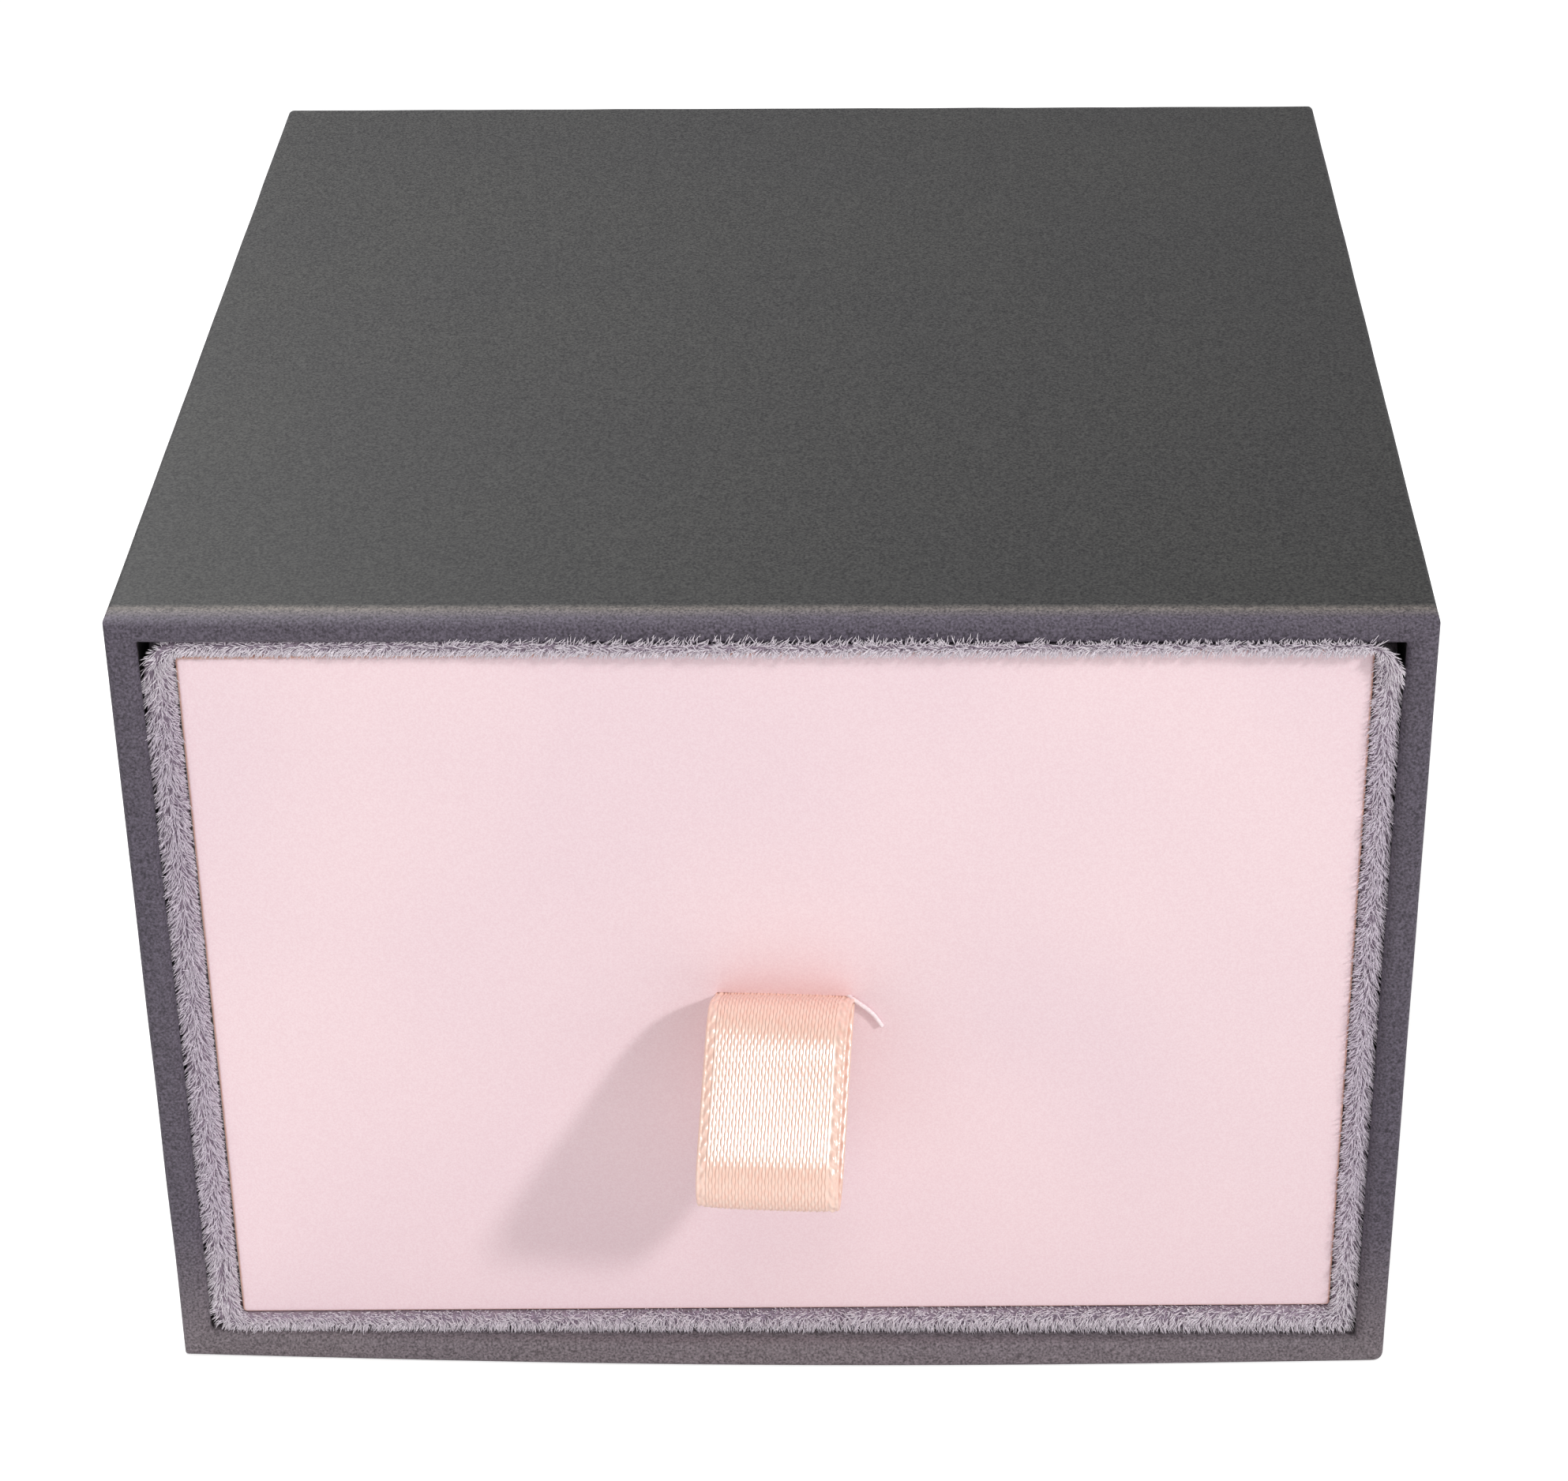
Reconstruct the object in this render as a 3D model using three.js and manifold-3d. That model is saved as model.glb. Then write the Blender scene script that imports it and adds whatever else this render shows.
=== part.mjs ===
// A small rigid jewellery box: a paper-wrapped greyboard sleeve, open at the front, and a plush-covered
// drawer with a paper-faced front panel and a satin ribbon pull.
// Millimetres. X runs across the front, Y runs from the front to the back and Z is up.
// The origin is the centre of the underside.

import * as THREE from 'three';
import { mergeVertices } from 'three/addons/utils/BufferGeometryUtils.js';
import { RoundedBoxGeometry } from 'three/addons/geometries/RoundedBoxGeometry.js';
import Module from 'manifold-3d';

const wasm = await Module();
wasm.setup();

// Driving sizes of the whole box.
const BOX_WIDTH = 90;
const BOX_DEPTH = 95;
const BOX_HEIGHT = 63;

// Sheet and board thicknesses, and the glue film between two layers.
const WRAP_THICKNESS = 0.17;
const LINING_THICKNESS = 0.12;
const STAY_THICKNESS = 0.1;
const GLUE_FILM = 0.03;
const SLEEVE_BOARD = 1.5;
const TRAY_BOARD = 1.5;
const BOARD_JOINT_GAP = 0.05;

// Sleeve: rounded outer edges and the widths of the turned paper flaps.
const SLEEVE_EDGE_RADIUS = 0.9;
const SLEEVE_EDGE_STEPS = 3;
const MOUTH_TURN_IN = 15;
const BACK_FLAP = 12;
const UNDER_FLAP = 12;
const BACK_SHEET_MARGIN = 1.5;
const UNDER_SHEET_MARGIN = 2.5;
const SHEET_SEAM_GAP = 0.3;
const SLEEVE_STAY_LEG = 9;

// Drawer: running clearance in the sleeve, plush cloth and its turned-in rim.
const DRAWER_CLEARANCE = 0.3;
const DRAWER_SETBACK = 0.35;
const PLUSH_THICKNESS = 0.9;
const PLUSH_PRESSED = 0.7;
const PLUSH_CORNER_RADIUS = 2.4;
const PLUSH_CORNER_STEPS = 5;
const PLUSH_RIM_TURN = 10;
const TRAY_STAY_LEG = 8;

// Front panel: its plush border, its card and its wrapped paper.
const BORDER_SIDE = 2.1;
const BORDER_TOP = 1.9;
const PANEL_RECESS = 0.65;
const PANEL_GAP = 0.15;
const PANEL_CARD = 1;
const PANEL_TURN_IN = 8;

// Ribbon pull: a satin ribbon doubled into a loop through a slit in the panel.
// The offsets are from the panel's middle, to the right and up.
const RIBBON_WIDTH = 10;
const RIBBON_THICKNESS = 0.3;
const RIBBON_OFFSET_X = 0.7;
const RIBBON_OFFSET_Z = 1;
const RIBBON_LAYER_GAP = 0.1;
const RIBBON_TAIL = 12;
const RIBBON_JOIN_GAP = 0.3;
const SLIT_SIDE_GAP = 0.3;
const SLIT_HEIGHT = 1.3;
const LOOP_ROOT_DEPTH = 0.25;
const LOOP_REACH = 12;
const LOOP_DROP = 10.6;
const LOOP_LEAN = 1.05;
const LOOP_STEPS = 44;

// Pad in the drawer: two foam halves on a card, under one plush cover tucked into a ring slit.
const PAD_HEIGHT = 26;
const PAD_SIDE_GAP = 0.3;
const PAD_CARD = 0.8;
const PAD_SLIT = 1.4;
const PAD_SLIT_DEPTH = 17;
const PAD_EDGE_RADIUS = 4;
const PAD_ARC_STEPS = 5;

// One run past a face, so that a cut goes right through it.
const OVERRUN = 1;

// The ribbon's middle line, from the slit out over the top and back underneath.
// Each pair is a share of the loop's reach and a share of its drop.
const LOOP_LINE_SHARES = [
  [0.05, 0.0],
  [0.2, 0.085],
  [0.4, 0.035],
  [0.6, -0.15],
  [0.8, -0.41],
  [0.97, -0.68],
  [1.0, -0.84],
  [0.93, -0.985],
  [0.8, -0.96],
  [0.6, -0.73],
  [0.35, -0.41],
  [0.15, -0.16],
  [0.04, -0.025],
];

const SHEET_BUILD = WRAP_THICKNESS + GLUE_FILM;
const STAY_BUILD = GLUE_FILM + STAY_THICKNESS + GLUE_FILM;

// A space is a box given by its low and high ends along each axis.
function space(x, y, z) {
  return { x, y, z };
}

function inset(from, dx, dy = dx, dz = dx) {
  return space(
    [from.x[0] + dx, from.x[1] - dx],
    [from.y[0] + dy, from.y[1] - dy],
    [from.z[0] + dz, from.z[1] - dz],
  );
}

function sizeOf(range) {
  return range[1] - range[0];
}

function middleOf(range) {
  return (range[0] + range[1]) / 2;
}

function centred(geometry, box) {
  return geometry.translate(middleOf(box.x), middleOf(box.y), middleOf(box.z));
}

function toSolid(geometry) {
  const bare = geometry.clone();
  bare.deleteAttribute('normal');
  bare.deleteAttribute('uv');
  const merged = mergeVertices(bare);
  return new wasm.Manifold(new wasm.Mesh({
    numProp: 3,
    vertProperties: new Float32Array(merged.attributes.position.array),
    triVerts: new Uint32Array(merged.index.array),
  }));
}

function toGeometry(solid) {
  const mesh = solid.getMesh();
  const geometry = new THREE.BufferGeometry();
  geometry.setAttribute('position', new THREE.BufferAttribute(new Float32Array(mesh.vertProperties), 3));
  geometry.setIndex(new THREE.BufferAttribute(new Uint32Array(mesh.triVerts), 1));
  geometry.computeVertexNormals();
  return geometry;
}

function blockGeometry(box) {
  return centred(new THREE.BoxGeometry(sizeOf(box.x), sizeOf(box.y), sizeOf(box.z)), box);
}

function block(box) {
  return toSolid(blockGeometry(box));
}

function roundedBlock(box, radius) {
  const sizes = [sizeOf(box.x), sizeOf(box.y), sizeOf(box.z)];
  return toSolid(centred(new RoundedBoxGeometry(...sizes, SLEEVE_EDGE_STEPS, radius), box));
}

// A closed outline, drawn as seen from the front, pushed back along Y.
function frontOutlineSolid(shape, yRange, arcSteps) {
  const geometry = new THREE.ExtrudeGeometry(shape, {
    depth: sizeOf(yRange),
    bevelEnabled: false,
    curveSegments: arcSteps,
  });
  geometry.rotateX(Math.PI / 2);
  geometry.translate(0, yRange[1], 0);
  return toSolid(geometry);
}

// A closed outline in Y and Z, pushed along X.
function sideOutlineGeometry(shape, xRange, arcSteps) {
  const geometry = new THREE.ExtrudeGeometry(shape, {
    depth: sizeOf(xRange),
    bevelEnabled: false,
    curveSegments: arcSteps,
  });
  geometry.rotateY(Math.PI / 2);
  geometry.rotateX(Math.PI / 2);
  geometry.translate(xRange[0], 0, 0);
  return geometry;
}

function roundedRectangle(xRange, zRange, radius) {
  const shape = new THREE.Shape();
  shape.moveTo(xRange[0] + radius, zRange[0]);
  shape.lineTo(xRange[1] - radius, zRange[0]);
  shape.absarc(xRange[1] - radius, zRange[0] + radius, radius, -Math.PI / 2, 0, false);
  shape.lineTo(xRange[1], zRange[1] - radius);
  shape.absarc(xRange[1] - radius, zRange[1] - radius, radius, 0, Math.PI / 2, false);
  shape.lineTo(xRange[0] + radius, zRange[1]);
  shape.absarc(xRange[0] + radius, zRange[1] - radius, radius, Math.PI / 2, Math.PI, false);
  shape.lineTo(xRange[0], zRange[0] + radius);
  shape.absarc(xRange[0] + radius, zRange[0] + radius, radius, Math.PI, Math.PI * 3 / 2, false);
  return shape;
}

// Spaces of the sleeve, from the outside in.
const front = -BOX_DEPTH / 2;
const sleeveOutside = space(
  [-BOX_WIDTH / 2, BOX_WIDTH / 2],
  [front, BOX_DEPTH / 2 - SHEET_BUILD],
  [SHEET_BUILD, BOX_HEIGHT],
);
const boardOutside = inset(sleeveOutside, SHEET_BUILD);
const boardInside = inset(boardOutside, SLEEVE_BOARD);
boardInside.y[0] = boardOutside.y[0];
const mouth = inset(boardInside, SHEET_BUILD, 0, SHEET_BUILD);
const liningFront = front + MOUTH_TURN_IN + SHEET_SEAM_GAP;
const liningBack = boardInside.y[1] - GLUE_FILM - LINING_THICKNESS;

// Spaces of the drawer, from the outside in.
const drawerOutside = inset(mouth, DRAWER_CLEARANCE);
drawerOutside.y[0] = front + DRAWER_SETBACK;
drawerOutside.y[1] = liningBack - DRAWER_CLEARANCE;
const panelOutside = inset(drawerOutside, BORDER_SIDE, 0, BORDER_TOP);
const panelFront = drawerOutside.y[0] + PANEL_RECESS;
const panelCard = inset(panelOutside, SHEET_BUILD, 0, SHEET_BUILD);
panelCard.y = [panelFront + SHEET_BUILD, panelFront + SHEET_BUILD + PANEL_CARD];
const panelSeat = panelCard.y[1] + GLUE_FILM + RIBBON_THICKNESS + GLUE_FILM;
const ribbonHeight = middleOf(panelOutside.z) + RIBBON_OFFSET_Z;
const trayOutside = inset(drawerOutside, PLUSH_THICKNESS + GLUE_FILM);
trayOutside.y[0] = panelSeat + PLUSH_PRESSED + GLUE_FILM;
const trayInside = inset(trayOutside, TRAY_BOARD);
trayInside.z[1] = trayOutside.z[1];
const trayLined = inset(trayInside, STAY_BUILD + PLUSH_THICKNESS);
trayLined.z[0] = trayInside.z[0] + GLUE_FILM + PLUSH_THICKNESS;
const rimTurnFoot = trayOutside.z[1] - PLUSH_RIM_TURN;
const liningTop = rimTurnFoot - SHEET_SEAM_GAP;

// Sleeve boards: top and bottom run right across, the sides and the back stand between them.
function sleeveBoard(xRange, yRange, zRange) {
  const squareBoard = block(space(xRange, yRange, zRange));
  return squareBoard.intersect(roundedBlock(boardOutside, SLEEVE_EDGE_RADIUS - SHEET_BUILD));
}

function sleeveTopBoard() {
  return sleeveBoard(boardOutside.x, boardOutside.y, [boardInside.z[1], boardOutside.z[1]]);
}

function sleeveBottomBoard() {
  return sleeveBoard(boardOutside.x, boardOutside.y, [boardOutside.z[0], boardInside.z[0]]);
}

function standingRange() {
  return [boardInside.z[0] + BOARD_JOINT_GAP, boardInside.z[1] - BOARD_JOINT_GAP];
}

function sleeveLeftBoard() {
  return sleeveBoard([boardOutside.x[0], boardInside.x[0]], boardOutside.y, standingRange());
}

function sleeveRightBoard() {
  return sleeveBoard([boardInside.x[1], boardOutside.x[1]], boardOutside.y, standingRange());
}

function sleeveBackBoard() {
  const xRange = [boardInside.x[0] + BOARD_JOINT_GAP, boardInside.x[1] - BOARD_JOINT_GAP];
  return sleeveBoard(xRange, [boardInside.y[1], boardOutside.y[1]], standingRange());
}

// Sleeve wrap: one sheet round all four walls, turned into the mouth, over the back and underneath.
function sleeveWrap() {
  const paperInside = inset(sleeveOutside, WRAP_THICKNESS);
  const skin = roundedBlock(sleeveOutside, SLEEVE_EDGE_RADIUS)
    .subtract(roundedBlock(paperInside, SLEEVE_EDGE_RADIUS - WRAP_THICKNESS));
  const turnedIn = inset(mouth, -WRAP_THICKNESS);
  turnedIn.y = [front + WRAP_THICKNESS / 2, front + MOUTH_TURN_IN];
  const throughMouth = space(mouth.x, [front - OVERRUN, front + MOUTH_TURN_IN + OVERRUN], mouth.z);
  const backWindow = inset(sleeveOutside, BACK_FLAP);
  backWindow.y = [boardOutside.y[1], sleeveOutside.y[1] + OVERRUN];
  const underWindow = inset(sleeveOutside, UNDER_FLAP);
  underWindow.z = [sleeveOutside.z[0] - OVERRUN, boardOutside.z[0]];
  return skin
    .add(block(turnedIn))
    .subtract(block(throughMouth))
    .subtract(block(backWindow))
    .subtract(block(underWindow));
}

function sleeveUnderSheet() {
  const sheet = inset(sleeveOutside, UNDER_SHEET_MARGIN);
  sheet.z = [0, WRAP_THICKNESS];
  return block(sheet);
}

function sleeveBackSheet() {
  const sheet = inset(sleeveOutside, BACK_SHEET_MARGIN);
  sheet.y = [BOX_DEPTH / 2 - WRAP_THICKNESS, BOX_DEPTH / 2];
  return block(sheet);
}

// Sleeve lining: a thin paper tube behind the turned-in wrap, and a sheet on the back wall.
function sleeveLining() {
  const outside = inset(boardInside, STAY_BUILD);
  outside.y = [liningFront, liningBack - GLUE_FILM];
  const inside = inset(outside, LINING_THICKNESS, -OVERRUN, LINING_THICKNESS);
  return block(outside).subtract(block(inside));
}

function sleeveBackLining() {
  const sheet = inset(boardInside, GLUE_FILM);
  sheet.y = [liningBack, liningBack + LINING_THICKNESS];
  return block(sheet);
}

// A corner stay is a kraft strip folded along its middle into an inside corner.
// Each leg lies against a wall and runs from the corner towards the middle.
function stayRange(corner, side, leg) {
  const start = corner - side * GLUE_FILM;
  return [start, start - side * leg].sort((a, b) => a - b);
}

function sleeveStay(sideX, sideZ) {
  const cornerX = sideX < 0 ? boardInside.x[0] : boardInside.x[1];
  const cornerZ = sideZ < 0 ? boardInside.z[0] : boardInside.z[1];
  const yRange = [liningFront, liningBack - GLUE_FILM];
  const flatLeg = space(stayRange(cornerX, sideX, SLEEVE_STAY_LEG), yRange,
    stayRange(cornerZ, sideZ, STAY_THICKNESS));
  const uprightLeg = space(stayRange(cornerX, sideX, STAY_THICKNESS), yRange,
    stayRange(cornerZ, sideZ, SLEEVE_STAY_LEG));
  return block(flatLeg).add(block(uprightLeg));
}

function trayStay(sideX, sideY) {
  const cornerX = sideX < 0 ? trayInside.x[0] : trayInside.x[1];
  const cornerY = sideY < 0 ? trayInside.y[0] : trayInside.y[1];
  const zRange = [trayInside.z[0] + GLUE_FILM, liningTop];
  const crossLeg = space(stayRange(cornerX, sideX, TRAY_STAY_LEG),
    stayRange(cornerY, sideY, STAY_THICKNESS), zRange);
  const sideLeg = space(stayRange(cornerX, sideX, STAY_THICKNESS),
    stayRange(cornerY, sideY, TRAY_STAY_LEG), zRange);
  return block(crossLeg).add(block(sideLeg));
}

// Tray boards: front and back run right across, the sides stand between them, the bottom lies inside.
function trayFrontBoard() {
  return block(space(trayOutside.x, [trayOutside.y[0], trayInside.y[0]], trayOutside.z));
}

function trayBackBoard() {
  return block(space(trayOutside.x, [trayInside.y[1], trayOutside.y[1]], trayOutside.z));
}

function betweenRange(range) {
  return [range[0] + BOARD_JOINT_GAP, range[1] - BOARD_JOINT_GAP];
}

function trayLeftBoard() {
  return block(space([trayOutside.x[0], trayInside.x[0]], betweenRange(trayInside.y), trayOutside.z));
}

function trayRightBoard() {
  return block(space([trayInside.x[1], trayOutside.x[1]], betweenRange(trayInside.y), trayOutside.z));
}

function trayBottomBoard() {
  return block(space(betweenRange(trayInside.x), betweenRange(trayInside.y),
    [trayOutside.z[0], trayInside.z[0]]));
}

// Plush cover: one cloth round the whole tray, over its rim and down the inside.
// In front it stands up round the panel as a thick border.
function plushCover() {
  const outline = roundedRectangle(drawerOutside.x, drawerOutside.z, PLUSH_CORNER_RADIUS);
  const whole = frontOutlineSolid(outline, drawerOutside.y, PLUSH_CORNER_STEPS);
  const pocket = inset(panelOutside, -PANEL_GAP);
  pocket.y = [drawerOutside.y[0] - OVERRUN, panelSeat];
  const tray = inset(trayOutside, -GLUE_FILM);
  const rimLoop = inset(trayInside, GLUE_FILM);
  rimLoop.z = [rimTurnFoot, trayOutside.z[1] + OVERRUN];
  const walls = block(tray).subtract(block(rimLoop));
  const hollow = inset(trayInside, GLUE_FILM + PLUSH_THICKNESS);
  hollow.z = [trayOutside.z[0], drawerOutside.z[1] + OVERRUN];
  return whole.subtract(block(pocket)).subtract(walls).subtract(block(hollow));
}

function plushLining() {
  const outside = inset(trayInside, STAY_BUILD);
  outside.z = [trayInside.z[0] + GLUE_FILM, liningTop];
  const inside = space(trayLined.x, trayLined.y, [trayLined.z[0], liningTop + OVERRUN]);
  return block(outside).subtract(block(inside));
}

// Front panel: a card wrapped in paper, with a slit for the ribbon.
function slitSpace(yRange) {
  const halfWidth = RIBBON_WIDTH / 2 + SLIT_SIDE_GAP;
  return space(
    [RIBBON_OFFSET_X - halfWidth, RIBBON_OFFSET_X + halfWidth],
    yRange,
    [ribbonHeight - SLIT_HEIGHT / 2, ribbonHeight + SLIT_HEIGHT / 2],
  );
}

function slitThroughPanel() {
  return block(slitSpace([panelFront - OVERRUN, panelCard.y[1] + OVERRUN]));
}

function panelBoard() {
  return block(panelCard).subtract(slitThroughPanel());
}

function panelPaper() {
  const wrapped = space(panelOutside.x, [panelFront, panelCard.y[1] + SHEET_BUILD], panelOutside.z);
  const card = inset(panelCard, -GLUE_FILM);
  const window = inset(panelOutside, PANEL_TURN_IN);
  window.y = [panelCard.y[0], wrapped.y[1] + OVERRUN];
  return block(wrapped).subtract(block(card)).subtract(block(window)).subtract(slitThroughPanel());
}

// Ribbon tails: each comes back through the slit and lies glued up or down the card's back.
function ribbonTail(sideZ) {
  const halfGap = RIBBON_LAYER_GAP / 2;
  const xRange = [RIBBON_OFFSET_X - RIBBON_WIDTH / 2, RIBBON_OFFSET_X + RIBBON_WIDTH / 2];
  const cardBack = panelCard.y[1] + GLUE_FILM;
  const towards = (near, far) => [ribbonHeight + sideZ * near, ribbonHeight + sideZ * far]
    .sort((a, b) => a - b);
  const inSlit = space(
    xRange,
    [panelFront + LOOP_ROOT_DEPTH + RIBBON_JOIN_GAP, cardBack + RIBBON_THICKNESS],
    towards(halfGap, halfGap + RIBBON_THICKNESS),
  );
  const onCard = space(xRange, [cardBack, cardBack + RIBBON_THICKNESS], towards(halfGap, RIBBON_TAIL));
  return block(inSlit).add(block(onCard));
}

// Ribbon loop: the middle line is smoothed, given its thickness and pushed across the ribbon's width.
function loopMiddleLine() {
  const rootOffset = (RIBBON_LAYER_GAP + RIBBON_THICKNESS) / 2;
  const points = LOOP_LINE_SHARES.map(([out, up], i) => {
    const side = i < LOOP_LINE_SHARES.length / 2 ? rootOffset : -rootOffset;
    return new THREE.Vector2(panelFront - out * LOOP_REACH, ribbonHeight + side + up * LOOP_DROP);
  });
  points.unshift(new THREE.Vector2(panelFront + LOOP_ROOT_DEPTH, ribbonHeight + rootOffset));
  points.push(new THREE.Vector2(panelFront + LOOP_ROOT_DEPTH, ribbonHeight - rootOffset));
  return new THREE.SplineCurve(points).getSpacedPoints(LOOP_STEPS);
}

function offsetLine(line, distance) {
  return line.map((point, i) => {
    const before = line[Math.max(i - 1, 0)];
    const after = line[Math.min(i + 1, line.length - 1)];
    const along = after.clone().sub(before).normalize();
    return new THREE.Vector2(point.x + along.y * distance, point.y - along.x * distance);
  });
}

function ribbonLoop() {
  const line = loopMiddleLine();
  const outer = offsetLine(line, RIBBON_THICKNESS / 2);
  const inner = offsetLine(line, -RIBBON_THICKNESS / 2).reverse();
  const shape = new THREE.Shape([...outer, ...inner]);
  const xRange = [RIBBON_OFFSET_X - RIBBON_WIDTH / 2, RIBBON_OFFSET_X + RIBBON_WIDTH / 2];
  const geometry = sideOutlineGeometry(shape, xRange, 1);
  const position = geometry.attributes.position;
  for (let i = 0; i < position.count; i += 1) {
    const out = Math.max(panelFront - position.getY(i), 0);
    position.setX(i, position.getX(i) - LOOP_LEAN * out / LOOP_REACH);
  }
  return toSolid(geometry);
}

// Pad: foam halves with round shoulders, a card under them and one cover over both.
const padOutside = inset(trayLined, PAD_SIDE_GAP);
padOutside.z = [trayLined.z[0] + GLUE_FILM, trayLined.z[0] + GLUE_FILM + PAD_HEIGHT];
const padFoot = padOutside.z[0] + PAD_CARD + GLUE_FILM;
const slitMiddle = middleOf(padOutside.y);

// One half of the pad, seen from the side: upright walls and two round shoulders.
function shoulderedShape(yRange, zRange, radius) {
  const shape = new THREE.Shape();
  shape.moveTo(yRange[0], zRange[0]);
  shape.lineTo(yRange[1], zRange[0]);
  shape.lineTo(yRange[1], zRange[1] - radius);
  shape.absarc(yRange[1] - radius, zRange[1] - radius, radius, 0, Math.PI / 2, false);
  shape.lineTo(yRange[0] + radius, zRange[1]);
  shape.absarc(yRange[0] + radius, zRange[1] - radius, radius, Math.PI / 2, Math.PI, false);
  return shape;
}

function padHalfRange(side) {
  const slitEdge = slitMiddle + side * PAD_SLIT / 2;
  return side < 0 ? [padOutside.y[0], slitEdge] : [slitEdge, padOutside.y[1]];
}

function padHalf(side, skin, zFoot, xRange) {
  const yRange = padHalfRange(side);
  const covered = [yRange[0] + skin, yRange[1] - skin];
  const zRange = [zFoot, padOutside.z[1] - skin];
  const shape = shoulderedShape(covered, zRange, PAD_EDGE_RADIUS - skin);
  return toSolid(sideOutlineGeometry(shape, xRange, PAD_ARC_STEPS));
}

function padFoam(side) {
  return padHalf(side, PLUSH_THICKNESS + GLUE_FILM, padFoot, padOutside.x);
}

function padCard() {
  return block(space(padOutside.x, padOutside.y, [padOutside.z[0], padOutside.z[0] + PAD_CARD]));
}

function padCover() {
  const cutX = [padOutside.x[0] - OVERRUN, padOutside.x[1] + OVERRUN];
  const bridge = space(
    padOutside.x,
    [slitMiddle - PLUSH_THICKNESS, slitMiddle + PLUSH_THICKNESS],
    [padOutside.z[1] - PAD_SLIT_DEPTH - PLUSH_THICKNESS, padOutside.z[1] - PAD_SLIT_DEPTH],
  );
  const belowBridge = space(
    cutX,
    [slitMiddle - PAD_SLIT / 2 - PLUSH_THICKNESS - GLUE_FILM,
      slitMiddle + PAD_SLIT / 2 + PLUSH_THICKNESS + GLUE_FILM],
    [padFoot - OVERRUN, padOutside.z[1] - PAD_SLIT_DEPTH - PLUSH_THICKNESS],
  );
  return padHalf(-1, 0, padFoot, padOutside.x)
    .add(padHalf(1, 0, padFoot, padOutside.x))
    .add(block(bridge))
    .subtract(padHalf(-1, PLUSH_THICKNESS, padFoot - OVERRUN, cutX))
    .subtract(padHalf(1, PLUSH_THICKNESS, padFoot - OVERRUN, cutX))
    .subtract(block(belowBridge));
}

const finishes = {
  wrapPaper: { color: 0x55524f, roughness: 0.75, metalness: 0 },
  liningPaper: { color: 0x2b2a2a, roughness: 0.85, metalness: 0 },
  greyboard: { color: 0x8d8a82, roughness: 0.95, metalness: 0 },
  kraft: { color: 0xa98a63, roughness: 0.9, metalness: 0 },
  plush: { color: 0xa79dac, roughness: 1, metalness: 0 },
  panelPaper: { color: 0xf6dadd, roughness: 0.65, metalness: 0 },
  satin: { color: 0xfbcdb8, roughness: 0.4, metalness: 0 },
  foam: { color: 0xe9e6de, roughness: 1, metalness: 0 },
  card: { color: 0xb9b6ae, roughness: 0.9, metalness: 0 },
};

const box = new THREE.Group();
const sleeve = new THREE.Group();
const drawer = new THREE.Group();
const ribbon = new THREE.Group();

function addPiece(group, name, solid, finish) {
  const piece = new THREE.Mesh(toGeometry(solid), new THREE.MeshStandardMaterial(finish));
  piece.name = name;
  group.add(piece);
}

const sleeveBoards = {
  sleeve_top_board: sleeveTopBoard(),
  sleeve_bottom_board: sleeveBottomBoard(),
  sleeve_left_board: sleeveLeftBoard(),
  sleeve_right_board: sleeveRightBoard(),
  sleeve_back_board: sleeveBackBoard(),
};
for (const [name, solid] of Object.entries(sleeveBoards)) {
  addPiece(sleeve, name, solid, finishes.greyboard);
}
addPiece(sleeve, 'sleeve_wrap', sleeveWrap(), finishes.wrapPaper);
addPiece(sleeve, 'sleeve_under_sheet', sleeveUnderSheet(), finishes.wrapPaper);
addPiece(sleeve, 'sleeve_back_sheet', sleeveBackSheet(), finishes.wrapPaper);
addPiece(sleeve, 'sleeve_lining', sleeveLining(), finishes.liningPaper);
addPiece(sleeve, 'sleeve_back_lining', sleeveBackLining(), finishes.liningPaper);

const trayBoards = {
  tray_front_board: trayFrontBoard(),
  tray_back_board: trayBackBoard(),
  tray_left_board: trayLeftBoard(),
  tray_right_board: trayRightBoard(),
  tray_bottom_board: trayBottomBoard(),
};
for (const [name, solid] of Object.entries(trayBoards)) {
  addPiece(drawer, name, solid, finishes.greyboard);
}

for (const [sideX, wordX] of [[-1, 'left'], [1, 'right']]) {
  for (const [side, word] of [[-1, 'lower'], [1, 'upper']]) {
    addPiece(sleeve, `sleeve_stay_${word}_${wordX}`, sleeveStay(sideX, side), finishes.kraft);
  }
  for (const [side, word] of [[-1, 'front'], [1, 'back']]) {
    addPiece(drawer, `tray_stay_${word}_${wordX}`, trayStay(sideX, side), finishes.kraft);
  }
}

addPiece(drawer, 'tray_plush_cover', plushCover(), finishes.plush);
addPiece(drawer, 'tray_plush_lining', plushLining(), finishes.plush);
addPiece(drawer, 'front_panel_card', panelBoard(), finishes.card);
addPiece(drawer, 'front_panel_paper', panelPaper(), finishes.panelPaper);
addPiece(drawer, 'ribbon_tail_upper', ribbonTail(1), finishes.satin);
addPiece(drawer, 'ribbon_tail_lower', ribbonTail(-1), finishes.satin);
addPiece(drawer, 'pad_card', padCard(), finishes.card);
addPiece(drawer, 'pad_foam_front', padFoam(-1), finishes.foam);
addPiece(drawer, 'pad_foam_back', padFoam(1), finishes.foam);
addPiece(drawer, 'pad_cover', padCover(), finishes.plush);
addPiece(ribbon, 'ribbon_loop', ribbonLoop(), finishes.satin);

box.add(sleeve, drawer, ribbon);

export default box;
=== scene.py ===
import math

import bpy
import numpy as np
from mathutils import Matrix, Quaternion, Vector


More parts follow.
